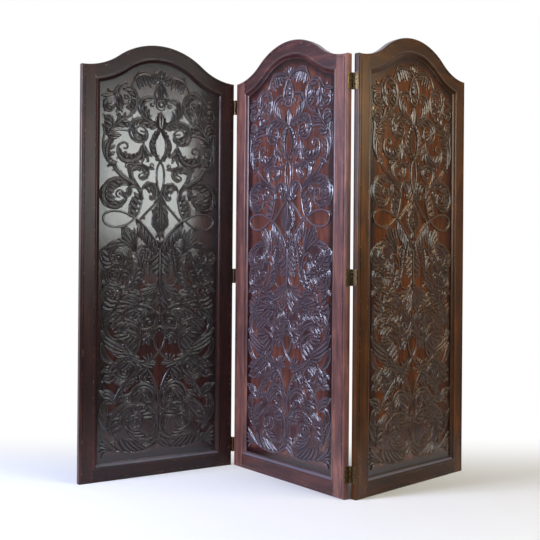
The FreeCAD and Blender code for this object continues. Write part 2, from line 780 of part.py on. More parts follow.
def make_arch_moulding(panel):
    """The top moulding: its section turned about the arch's three centres."""
    label = panel + "_top_moulding"
    body = doc.addObject("PartDesign::Body", label)
    crown = shoulder + rise - rail
    low = shoulder - rail
    for name, level, height, centre in (
            ("Crown", half, crown, crown_z), ("Left", ZERO, low, hollow_z),
            ("Right", width, low, hollow_z)):
        section = moulding_section(level_section(height, False))
        sketch = draw(body, label + name, "YZ", level, [section], axis=(centre, thick))
        feature = body.newObject("PartDesign::Revolution", sketch.Name + "Turn")
        feature.Profile = sketch
        feature.ReferenceAxis = (sketch, ["Axis0"])
        feature.Midplane = True
        feature.setExpression("Angle", (arch_angle * 2).text)
        doc.recompute()
    reach = hollow_radius(rail + wide) + over
    under = low - wide - over
    left = [("to", -reach, mitre_top + over * mitre_fall),
            ("to", stile - over, mitre_top + over * mitre_fall),
            ("to", stile + wide + over, mitre_low - over * mitre_fall),
            ("to", stile + wide + over, under),
            ("to", -reach, under)]
    above = [("to", -reach, mitre_top + over * mitre_fall),
             ("to", stile, mitre_top + over * mitre_fall),
             ("to", stile, hollow_z),
             ("to", -reach, hollow_z)]
    pocket(body, draw(body, label + "LeftMitre", "XZ", cut_front, [left]), "XZ", cut_depth)
    pocket(body, draw(body, label + "RightMitre", "XZ", cut_front, [mirrored(left, width)]),
           "XZ", cut_depth)
    pocket(body, draw(body, label + "Ends", "XZ", cut_front, [above, mirrored(above, width)]),
           "XZ", cut_depth)
    return label, body


carving = make_carving()
hinged_edges = {
    ("left", True): "front", ("middle", False): "front",
    ("middle", True): "back", ("right", False): "back",
}
for panel in ("left", "middle", "right"):
    place = placement_text(places[panel], ZERO, yaws[panel])
    for right_side in (False, True):
        label, body = make_stile(panel, right_side, hinged_edges.get((panel, right_side)))
        keep(body, label, place)
        label, body = make_upright(panel, right_side)
        keep(body, label, place)
    for make in (make_top_rail, make_bottom_rail, make_board, make_foot_moulding,
                 make_arch_moulding):
        label, body = make(panel)
        keep(body, label, place)


def make_leaf(label, outer_knuckles, flip):
    """One hinge leaf with three outer or two inner knuckles, on +x or flipped to -x."""
    def hand(outline):
        return mirrored(outline, ZERO) if flip else outline

    body = doc.addObject("PartDesign::Body", label)
    plate = box_outline(half_gap, leaf_start, edge_gap, leaf_end)
    pad(body, draw(body, label + "Plate", "XY", ZERO, [hand(plate)]), "XY",
        known["hinge_length"])
    knuckle = [("to", edge_gap, leaf_start), ("to", edge_gap, outer_meet),
               ("arc", half_gap, inner_meet, ZERO, ZERO, radius, False),
               ("to", half_gap, leaf_start)]
    if outer_knuckles:
        rows = [("Low", ZERO, knuckle_pitch - gap / 2),
                ("Mid", knuckle_pitch * 2 + gap / 2, knuckle_pitch - gap),
                ("High", knuckle_pitch * 4 + gap / 2, knuckle_pitch - gap / 2)]
        for name, level, length in rows:
            sketch = draw(body, label + "Knuckle" + name, "XY", level, [hand(knuckle)])
            pad(body, sketch, "XY", length)
    else:
        sketch = draw(body, label + "Knuckle", "XY", knuckle_pitch + gap / 2, [hand(knuckle)])
        one = pad(body, sketch, "XY", knuckle_pitch - gap)
        doc.recompute()
        both = body.newObject("PartDesign::LinearPattern", label + "Row")
        both.Originals = [one]
        both.Direction = (sketch, ["N_Axis"])
        both.setExpression("Length", (knuckle_pitch * 2).text)
        both.Occurrences = 2
        body.Tip = both
    bore = draw(body, label + "Bore", "XY", ZERO, [],
                circles=[(ZERO, ZERO, known["pin_radius"] + known["pin_fit"])])
    pocket(body, bore, "XY", known["hinge_length"])
    holes = []
    for row, rise_up in screw_spots:
        holes.append((offset + row, rise_up, known["screw_radius"] + known["screw_fit"]))
    level = -half_gap if flip else half_gap
    sketch = draw(body, label + "Holes", "YZ", level, [], circles=holes)
    before = volume_of(body)
    hole = body.newObject("PartDesign::Hole", label + "Sinks")
    hole.Profile = sketch
    hole.Reversed = not flip
    hole.DepthType = "ThroughAll"
    hole.HoleCutType = "Countersink"
    hole.HoleCutCustomValues = True
    hole.setExpression("Diameter", ((known["screw_radius"] + known["screw_fit"]) * 2).text)
    hole.setExpression(
        "HoleCutDiameter", ((known["screw_head_radius"] + known["screw_fit"]) * 2).text)
    hole.HoleCutCountersinkAngle = COUNTERSINK_ANGLE
    if not volume_of(body) < before:
        raise ValueError(label + " has no screw holes")
    return body


def upright_cylinder(label, r, length, level):
    item = doc.addObject("Part::Cylinder", label)
    item.setExpression("Radius", r.text)
    item.setExpression("Height", length.text)
    item.setExpression("Placement", "placement(vector(0; 0; %s); rotation(vector(0; 0; 1); 0))"
                       % level.text)
    return item


def make_pin(label):
    """Hinge pin with a low domed head resting on the top knuckle."""
    shaft = upright_cylinder(label + "_shaft", known["pin_radius"], known["hinge_length"], ZERO)
    head = doc.addObject("Part::Cone", label + "_head")
    head.setExpression("Radius1", known["pin_head_radius"].text)
    head.setExpression("Radius2", known["pin_radius"].text)
    head.setExpression("Height", known["pin_head_height"].text)
    head.setExpression("Placement", "placement(vector(0; 0; %s); rotation(vector(0; 0; 1); 0))"
                       % known["hinge_length"].text)
    return fused(label, shaft, head)


def make_screw(label, flip, row, level):
    """A slotted countersunk wood screw lying along x, its head at the leaf's open face."""
    flare = math.tan(math.radians(COUNTERSINK_ANGLE / 2))
    head_height = (known["screw_head_radius"] - known["screw_radius"]) / flare
    head = doc.addObject("Part::Cone", label + "_head")
    head.setExpression("Radius1", known["screw_head_radius"].text)
    head.setExpression("Radius2", known["screw_radius"].text)
    head.setExpression("Height", head_height.text)
    shank = upright_cylinder(label + "_shank", known["screw_radius"],
                             known["screw_length"] - head_height, head_height)
    slot = doc.addObject("Part::Box", label + "_slot")
    slot.setExpression("Length", (known["screw_head_radius"] * 2).text)
    slot.setExpression("Width", known["screw_slot_width"].text)
    slot.setExpression("Height", known["screw_slot_depth"].text)
    slot.setExpression(
        "Placement", "placement(vector(%s; %s; 0); rotation(vector(0; 0; 1); 0))"
        % ((-known["screw_head_radius"]).text, (-(known["screw_slot_width"] / 2)).text))
    screw = doc.addObject("Part::Cut", label)
    screw.Base = fused(label + "_blank", head, shank)
    screw.Tool = slot
    lean = "-90" if flip else "90"
    start_x = -half_gap if flip else half_gap
    screw.setExpression(
        "Placement", "placement(vector(%s; %s; %s); rotation(vector(0; 1; 0); %s))"
        % (start_x.text, (offset + row).text, level.text, lean))
    return screw


# The valley pins stand in front of the faces and their leaves reach back; the ridge hinges are
# the same hinge turned half round, so that their pins stand behind the faces.
hinge_sides = {
    "valley": (("left", True, "swing"), ("middle", False, "fixed")),
    "ridge": (("right", True, "swing"), ("middle", False, "fixed")),
}
for fold in ("valley", "ridge"):
    for panel, flip, kind in hinge_sides[fold]:
        angle = yaws[panel] if fold == "valley" else yaws[panel] + 180
        for spot, height in hinge_heights.items():
            label = fold + "_hinge_" + spot + "_" + kind + "_leaf"
            body = make_leaf(label, kind == "fixed", flip)
            keep(body, label, placement_text(pins[fold], height, angle))
        screws = []
        for spot, height in hinge_heights.items():
            for n, (row, rise_up) in enumerate(screw_spots):
                name = panel + "_" + fold + "_screw_" + spot + str(n)
                screws.append(make_screw(name, flip, row, height + rise_up))
        group = doc.addObject("Part::Compound", panel + "_" + fold + "_screws")
        group.Links = screws
        keep(group, panel + "_" + fold + "_screws", placement_text(pins[fold], ZERO, angle))
    for spot, height in hinge_heights.items():
        label = fold + "_hinge_" + spot + "_pin"
        angle = yaws["middle"] if fold == "valley" else yaws["middle"] + 180
        keep(make_pin(label), label, placement_text(pins[fold], height, angle))

doc.recompute()
for item in doc.Objects:
    if "Invalid" in item.State or "Error" in item.State:
        raise ValueError(item.Label + " failed: " + ", ".join(item.State))
for label, item in finished:
    if item.Shape.isNull() or not item.Shape.isValid():
        raise ValueError(label + " has no sound shape")

os.makedirs("parts", exist_ok=True)
for label, item in finished:
    item.Shape.exportStep(os.path.join("parts", label + ".step"))
print(len(finished), "pieces written")
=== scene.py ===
"""Looks for the carved three-panel folding screen.

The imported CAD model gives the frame, mouldings and hinges. This script gives them their
finishes and carves the boards: one board is cut as a height map from drawn strokes, split
into the planks it is glued up from, and copied into the three panels.
"""

import functools
import math

import bpy
import numpy as np
from mathutils import Matrix, Vector


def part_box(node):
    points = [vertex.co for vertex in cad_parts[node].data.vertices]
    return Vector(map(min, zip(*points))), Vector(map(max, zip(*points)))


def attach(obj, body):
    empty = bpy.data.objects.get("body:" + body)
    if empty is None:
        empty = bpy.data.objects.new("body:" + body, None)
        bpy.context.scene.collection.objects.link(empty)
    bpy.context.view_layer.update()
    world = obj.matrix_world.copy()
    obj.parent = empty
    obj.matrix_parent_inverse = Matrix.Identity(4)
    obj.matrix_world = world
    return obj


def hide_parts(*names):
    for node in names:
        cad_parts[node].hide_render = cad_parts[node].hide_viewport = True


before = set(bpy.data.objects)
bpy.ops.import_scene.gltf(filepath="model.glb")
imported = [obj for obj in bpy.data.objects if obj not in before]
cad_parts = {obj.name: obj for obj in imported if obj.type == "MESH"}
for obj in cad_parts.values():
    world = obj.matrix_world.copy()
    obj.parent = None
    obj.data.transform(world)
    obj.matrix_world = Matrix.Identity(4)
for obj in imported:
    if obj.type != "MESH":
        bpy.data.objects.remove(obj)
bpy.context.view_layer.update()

bl_info = {
    "name": "Carved folding screen",
    "version": (1, 0, 0),
    "blender": (4, 5, 0),
    "location": "View3D > Sidebar > Screen",
    "description": "Carves and finishes the panels of a three-panel folding screen",
    "category": "Object",
}

MM = 0.001
PANELS = ("left", "middle", "right")
# painted light and shade of each panel, as red, green and blue against the settings' colours: the middle
# panel painted lighter and bluer, as if lit by the left window, the left panel darker
PAINTED_LIGHT_TINTS = {"left": (0.6, 0.5, 0.7), "middle": (1.7, 2.1, 3.0), "right": (1.3, 1.2, 0.3)}
# the same painted light and shade for the upright and for the level parts of its frame
UPRIGHT_PAINTED_LIGHT_TINTS = {"left": (0.8, 0.7, 0.9), "middle": (3.8, 5.4, 7.4), "right": (1.6, 1.7, 0.4)}
LEVEL_PAINTED_LIGHT_TINTS = {"left": (0.5, 0.4, 0.5), "middle": (1.7, 2.0, 3.0), "right": (0.9, 0.9, 0.2)}
# how strongly the crests of the carving are painted pale, partly worn by rubbing and partly a painted
# highlight, and to what sRGB colour: bluish on the middle panel and warm on the right, as the lamps that
# light them
CREST_WEAR_AND_HIGHLIGHT = {"left": 0.15, "middle": 0.22, "right": 0.16}
CREST_WEAR_AND_HIGHLIGHT_COLOURS = {"left": "#8d908e", "middle": "#9a97a8", "right": "#93784f"}
# what the stain does to the flat ground and to the relief, with painted light: the ground lighter and
# warmer, partly a painted reflection, the relief darker and more purple, partly painted shade
GROUND_STAIN_AND_REFLECTION = (1.6, 1.5, 1.25, 1)
RELIEF_STAIN_AND_SHADE = (0.78, 0.6, 0.64, 1)


# settings

def colour(name, meaning, value):
    """A setting that holds an sRGB hex colour."""
    return bpy.props.StringProperty(
        name=name, description="sRGB hex colour of " + meaning, default=value)


def number(name, meaning, value, **limits):
    return bpy.props.FloatProperty(name=name, description=meaning, default=value, **limits)


def share(name, meaning, value):
    return number(name, meaning, value, min=0.0, max=1.0, subtype="FACTOR")


class CarvingSettings(bpy.types.PropertyGroup):
    """Sizes of the relief, in the pattern's millimetres."""

    grid_step: number("Grid step", "Spacing of the height map", 1.0, min=0.5)
    quick_step: number("Quick grid step", "Spacing while trying things", 2.4, min=1.0)
    depth_scale: number("Depth", "Height of the relief against its drawn height", 1.2, min=0.1)
    outline_depth: number("Outline depth", "Depth of the cut round each stroke", 2.2, min=0.0)
    outline_width: number("Outline width", "Width of the cut round each stroke", 1.8, min=0.5)
    # the board's edges get painted shade, as beside the frame's mouldings: full within plain_edge, fading
    # out over border_shade_fade
    plain_edge: number("Plain edge", "Width of the board's dark edge, partly in the frame", 40.0)
    border_shade_fade: number("Dark border", "Width over which the stain darkens to the edge", 30.0)
    chisel_ripple: number("Chisel ripple", "Depth of the tool marks on the ground", 0.02)
    plank_faces: bpy.props.IntProperty(
        name="Faces", description="Most triangles in one plank, about", default=146000)


class FinishSettings(bpy.types.PropertyGroup):
    """Colours and gloss of the polished wood and the hinges."""

    wood_dark: colour("Dark grain", "the late wood", "#1d0e0b")
    wood_mid: colour("Ground colour", "the stained wood", "#3a1d15")
    wood_light: colour("Light grain", "the early wood", "#5a3020")
    # near black: wax and painted shade in the recesses, and the painted shade along the carved board's
    # edges
    wax_and_shade_colour: colour("Old wax", "the wax and dust in the recesses", "#0c0605")
    chip_colour: colour("Bare chips", "the bare wood on knocked edges", "#b9a48f")
    # a painted highlight, bluish as the windows it mirrors, on frame ledges that look up
    ledge_highlight_colour: colour("Dust", "the dust on ledges that look up", "#90929e")
    brass_clean: colour("Rubbed brass", "the brass", "#8a7350")
    brass_dark: colour("Tarnished brass", "the tarnish", "#33271a")
    gloss: share("Wood roughness", "Roughness of the relief", 0.26)
    ground_gloss: share("Ground roughness", "Roughness of the carving's flat ground", 0.21)
    frame_gloss: share("Frame roughness", "Roughness of stiles, rails and mouldings", 0.36)
    polish_weight: share("Polish", "How thickly the polish lies on the carving", 0.5)
    polish_gloss: share("Polish roughness", "Roughness of the polish on the carving", 0.14)
    polish_index: number("Polish IOR", "Refractive index of the old French polish", 1.5, min=1.0)
    frame_index: number("Frame IOR", "The same for the thinner polish on the frame", 1.42, min=1.0)


class StageSettings(bpy.types.PropertyGroup):
    """Paper and camera."""

    floor_colour: colour("Floor", "the floor and backdrop", "#f6f5f3")
    camera_height: number("Camera height", "Height of the lens", 0.8731, unit="LENGTH")
    camera_distance: number("Camera distance", "From the lens to the screen", 3.3189,
                            unit="LENGTH")
    camera_side: number("Camera side", "Sideways place of the lens", -0.0345, unit="LENGTH")
    camera_pitch: number("Camera pitch", "Upward tilt", 0.001, subtype="ANGLE")
    camera_roll: number("Camera roll", "Turn about the view direction", 0.0079, subtype="ANGLE")
    focal_length: number("Focal length", "Lens, in millimetres on a 36 mm sensor", 53.1)


# small tools

def linear(hex_colour):
    """sRGB hex to linear RGBA."""
    parts = [int(hex_colour[k:k + 2], 16) / 255 for k in (1, 3, 5)]
    return tuple(c / 12.92 if c <= 0.04045 else ((c + 0.055) / 1.055) ** 2.4 for c in parts) + (1,)


def add_node(tree, kind, inputs=None, **settings):
    """Adds a shader node. An input is a constant, a node whose first output feeds it, or a
    (node, output) pair."""
    node = tree.nodes.new("ShaderNode" + kind)
    for name, value in settings.items():
        setattr(node, name, value)
    for name, value in (inputs or {}).items():
        pair = value if isinstance(value, tuple) else (value, 0)
        if isinstance(pair[0], bpy.types.Node):
            tree.links.new(pair[0].outputs[pair[1]], node.inputs[name])
        else:
            node.inputs[name].default_value = value
    return node


def new_material(name):
    """An empty material, and the function that adds nodes to it."""
    material = bpy.data.materials.new(name)
    material.use_nodes = True
    material.node_tree.nodes.clear()
    return material, functools.partial(add_node, material.node_tree)


def set_ramp(ramp, stops):
    """Colour stops as (place, linear colour) pairs."""
    elements = ramp.color_ramp.elements
    while len(elements) > 1:
        elements.remove(elements[-1])
    elements[0].position, elements[0].color = stops[0]
    for place, tone in stops[1:]:
        elements.new(place).color = tone


def select_only(obj):
    bpy.ops.object.select_all(action="DESELECT")
    obj.select_set(True)
    bpy.context.view_layer.objects.active = obj


class PanelPlace:
    """Where one panel stands, read from its CAD board and stiles."""

    def __init__(self, name):
        board = name + "_carved_board"
        stiles = [name + "_left_stile", name + "_right_stile"]
        largest = max(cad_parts[board].data.polygons, key=lambda face: face.area).normal
        front = Vector((largest.x, largest.y, 0)).normalized()
        middle = (self.centre(stiles[0]) + self.centre(stiles[1])) / 2
        if (middle - self.centre(board)).dot(front) < 0:
            front = -front
        self.back = -front
        self.across = Vector((-front.y, front.x, 0))
        self.yaw = math.atan2(self.across.y, self.across.x)
        left, right = (self.points(stile) for stile in stiles)
        start = (left @ np.array(self.across)).min()
        self.width = (right @ np.array(self.across)).max() - start
        self.origin = self.across * start + self.back * (left @ np.array(self.back)).min()
        # the board's points as (across, back, up) from the panel's lower left front corner
        p = self.points(board) - np.array(self.origin)
        self.board = np.stack([p @ np.array(self.across), p @ np.array(self.back), p[:, 2]], 1)

    @staticmethod
    def points(node):
        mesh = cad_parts[node].data
        out = np.empty(len(mesh.vertices) * 3)
        mesh.vertices.foreach_get("co", out)
        return out.reshape(-1, 3)

    @staticmethod
    def centre(node):
        low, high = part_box(node)
        return (Vector(low) + Vector(high)) / 2

    def matrix(self):
        """From panel coordinates to the room."""
        turn = Matrix((self.across, self.back, (0, 0, 1))).transposed().to_4x4()
        return Matrix.Translation(self.origin) @ turn


PLACES = {name: PanelPlace(name) for name in PANELS}


# relief

# points are (across, up) in millimetres from the lower left corner of a panel
CENTRE_LINE = 348.0
# how many pieces a curve has between two drawn points, and how far apart its even steps are
CURVE_PIECES = 10
STEM_STEP, LEAF_STEP, RIB_STEP, BEAD_STEP = 2.5, 3.0, 2.0, 1.0
# degrees between the points of a volute, about, and of a ring
VOLUTE_STEP = 25
RING_STEP = 20
BLADE_FULLNESS = 1.35
# a blade wider than this has a vein
VEINED = 11
# width and height of a blade, as shares, at these shares of its length
BLADE_WIDTH_SHARES = ((0, 0.3, 0.65, 0.88, 1), (0.55, 0.9, 1.0, 0.8, 0.42))
BLADE_RISE_SHARES = ((0, 0.5, 1), (0.7, 1.0, 0.85))
# height of a whorl, as shares, from its eye to its rim; and the radius of a pearl
WHORL_RISE_SHARES = ((0, 0.3, 0.85, 1), (1.3, 0.9, 1, 0.5))
PEARL = 4.5
# a leaf's blades bend at this share of their reach, and lean less past the bend; its rib
# thins to its tip
BEND_SHARE, TIP_SHARE, TIP_LEAN_SHARE, RIB_TIP_SHARE = 0.55, 0.45, 0.6, 0.6


def smooth_line(points, spacing):
    """A Catmull-Rom curve through the points, cut into even steps."""
    p = np.reshape(points, (-1, 2)).astype(float)
    ends = np.vstack([2 * p[0] - p[1], p, 2 * p[-1] - p[-2]])
    t = np.linspace(0, 1, CURVE_PIECES, endpoint=False)[:, None]
    runs = [0.5 * (2 * b + (c - a) * t + (2 * a - 5 * b + 4 * c - d) * t ** 2
                   + (3 * b - a - 3 * c + d) * t ** 3)
            for a, b, c, d in zip(ends, ends[1:], ends[2:], ends[3:])]
    fine = np.vstack(runs + [p[-1:]])
    along = np.concatenate([[0], np.cumsum(np.hypot(*np.diff(fine, axis=0).T))])
    even = np.linspace(0, along[-1], max(4, int(along[-1] / spacing) + 1))
    return np.stack([np.interp(even, along, fine[:, k]) for k in (0, 1)], 1)


def spiral(x, z, start_radius, end_radius, start, sweep):
    """Points of a volute about (x, z), from one radius to the other, angles in degrees."""
    count = max(4, int(abs(sweep) / VOLUTE_STEP))
    turns = [k / count for k in range(count + 1)]
    radii = [start_radius * (end_radius / start_radius) ** t for t in turns]
    angles = [math.radians(start + sweep * t) for t in turns]
    return [(x + r * math.cos(a), z + r * math.sin(a)) for r, a in zip(radii, angles)]


def blurred(field, radius):
    """Three box blurs, which come close to a Gaussian one."""
    for _ in range(3):
        for axis in (0, 1):
            wide = np.pad(field, [(radius + 1, radius) if k == axis else (0, 0) for k in (0, 1)],
                          mode="edge")
            sums = np.cumsum(wide, axis=axis)
            count = field.shape[axis]
            high = np.take(sums, range(2 * radius + 1, 2 * radius + 1 + count), axis=axis)
            low = np.take(sums, range(0, count), axis=axis)
            field = (high - low) / (2 * radius + 1)
    return field


def dome(across):
    """A rounded section: level along its crest, steep at its sides."""
    return np.sqrt(np.clip(1 - np.abs(across) ** 3, 0, 1))


def shares_along(values, count):
    """The values spread evenly over count places."""
    values = np.atleast_1d(values)
    return np.interp(np.linspace(0, 1, count), np.linspace(0, 1, len(values)), values)


class Relief:
    """A symmetric height map of one board, in millimetres. Strokes are drawn for the left
    half, in the order in which the carver's forms lie on each other, and each is laid with
    its mirror image. Their points are given as across, up, across, up."""

    STEM_EDGE, LEAF_EDGE, LEAN, FLUTE = 0.45, 0.3, 0.1, 0.42
    MASS_TOP, STEM_TOP, LEAF_TOP, RIB_TOP, BEAD_TOP = 3.2, 4.2, 5.0, 5.3, 5.6

    def __init__(self, low, high, settings, step):
        self.step = step
        self.cut = settings.outline_depth
        self.moat = settings.outline_width
        half = round((CENTRE_LINE - low[0]) / step)
        self.x = CENTRE_LINE + np.arange(-half, half + 1) * step
        self.z = np.arange(low[1], high[1] + step, step)
        self.height = np.zeros((len(self.z), len(self.x)))

    def nearest(self, line, reach, window):
        """Distance to the line, place along it and side of it, for each point of a window."""
        i0, i1, j0, j1 = window
        gx, gz = np.meshgrid(self.x[i0:i1], self.z[j0:j1])
        near, at, side = np.full(gx.shape, np.inf), np.zeros(gx.shape), np.zeros(gx.shape)
        for k, (a, b) in enumerate(zip(line[:-1], line[1:])):
            low, high = np.minimum(a, b) - reach, np.maximum(a, b) + reach
            c0, c1 = np.searchsorted(self.x[i0:i1], (low[0], high[0]))
            r0, r1 = np.searchsorted(self.z[j0:j1], (low[1], high[1]))
            px, pz = gx[r0:r1, c0:c1] - a[0], gz[r0:r1, c0:c1] - a[1]
            dx, dz = b - a
            t = np.clip((px * dx + pz * dz) / (dx * dx + dz * dz), 0, 1)
            ex, ez = px - t * dx, pz - t * dz
            distance = np.hypot(ex, ez)
            closer = distance < near[r0:r1, c0:c1]
            near[r0:r1, c0:c1][closer] = distance[closer]
            at[r0:r1, c0:c1][closer] = (k + t)[closer]
            side[r0:r1, c0:c1][closer] = (dx * ez - dz * ex)[closer]
        return near, at, side

    def stroke(self, line, half_width, top, strands, edge):
        """Lays one raised form, and its mirror image, over what is there."""
        reach = half_width.max() + self.moat + self.step
        low, high = line.min(0) - reach, line.max(0) + reach
        i0, i1 = np.searchsorted(self.x, (low[0], high[0]))
        j0, j1 = np.searchsorted(self.z, (low[1], high[1]))
        near, at, side = self.nearest(line, reach, (i0, i1, j0, j1))
        near = np.minimum(near, 10 * reach)
        width, level = (np.interp(at, np.arange(len(line)), each) for each in (half_width, top))
        q = near / width
        across = np.where(side < 0, -q, q)
        shape = edge + (1 - edge) * dome(q)
        shape *= 1 + self.LEAN * across
        if strands > 1:
            shape *= 1 - self.FLUTE * (1 - dome((strands * (across + 1)) % 2 - 1))
        inside = q <= 1
        away = (near - width) / self.moat
        moat = (away > 0) & (away < 1)
        count = len(self.x)
        for view in (self.height[j0:j1, i0:i1],
                     self.height[j0:j1, count - i1:count - i0][:, ::-1]):
            lowered = np.maximum(view - self.cut * (1 - away ** 2), 0)
            view[moat] = lowered[moat]
            view[inside] = (level * shape)[inside]

    def stem(self, widths, strands, *points, top=STEM_TOP):
        """A band along a curve, cut lengthwise into strands."""
        line = smooth_line(points, STEM_STEP)
        half = shares_along(widths, len(line)) / 2
        self.stroke(line, half, np.full(len(line), top), strands, self.STEM_EDGE)

    def mass(self, widths, strands, *points):
        """A broad fluted leaf that lies under the stems."""
        self.stem(widths, strands, *points, top=self.MASS_TOP)

    def whorl(self, x, z, radius, start, turns, strands):
        """A round leaf mass under the stems, its flutes wound in a spiral to its eye."""
        gx, gz = np.meshgrid(self.x, self.z)
        away = np.hypot(gx - x, gz - z) / radius
        angle = (np.arctan2(gz - z, gx - x) - math.radians(start)) / math.tau
        wound = abs(turns) * away + math.copysign(1, turns) * angle
        shape = 1 - self.FLUTE * (1 - dome(2 * ((strands * wound) % 1) - 1))
        shape *= np.interp(away, *WHORL_RISE_SHARES)
        inside = away <= 1
        for view in (self.height, self.height[:, ::-1]):
            view[inside] = np.maximum(view, self.MASS_TOP * shape)[inside]

    def blades(self, *rows):
        """Lobes of a leaf, each a width and the points from its root to its tip."""
        for width, *points in rows:
            line = smooth_line(points, LEAF_STEP)
            along = np.linspace(0, 1, len(line))
            width *= BLADE_FULLNESS
            half = width / 2 * np.interp(along, *BLADE_WIDTH_SHARES)
            level = self.LEAF_TOP * np.interp(along, *BLADE_RISE_SHARES)
            self.stroke(line, half, level, 2 if width > VEINED else 1, self.LEAF_EDGE)

    def bead(self, x, z, radius):
        line = np.array([(x - MM, z), (x + MM, z)])
        self.stroke(line, np.full(2, radius), np.full(2, self.BEAD_TOP), 1, self.LEAF_EDGE)

    def beads(self, count, *points):
        """A chain of pearls, evenly spaced along a curve."""
        line = smooth_line(points, BEAD_STEP)
        for k in np.linspace(0, len(line) - 1, count).astype(int):
            self.bead(*line[k], PEARL)

    def ring(self, x, z, radius, width):
        turns = np.radians(np.arange(0, 361, RING_STEP))
        self.stem(width, 1, [(x + radius * math.cos(a), z + radius * math.sin(a)) for a in turns])

    def leaf(self, sides, count, reach, lean, width, rib, *spine):
        """Blades that leave a rib to one side or both, the ones near its tip laid first."""
        line = smooth_line(spine, RIB_STEP)
        reach = shares_along(reach, len(line))
        for k in reversed(range(count)):
            j = min(int((k + 0.5) / count * (len(line) - 1)), len(line) - 2)
            ahead = (line[j + 1] - line[j]) / np.hypot(*(line[j + 1] - line[j]))
            for side in sides:
                out = np.array((-ahead[1], ahead[0])) * side
                first, last = (ahead * math.cos(math.radians(a)) + out * math.sin(math.radians(a))
                               for a in (lean, TIP_LEAN_SHARE * lean))
                bend = line[j] + first * reach[j] * BEND_SHARE
                tip = bend + last * reach[j] * TIP_SHARE
                self.blades((width, *line[j], *bend, *tip))
        self.stem((rib, rib, rib * RIB_TIP_SHARE), 1, *spine, top=self.RIB_TOP)


# pattern: calls with a stroke's widths, its strands and then its points


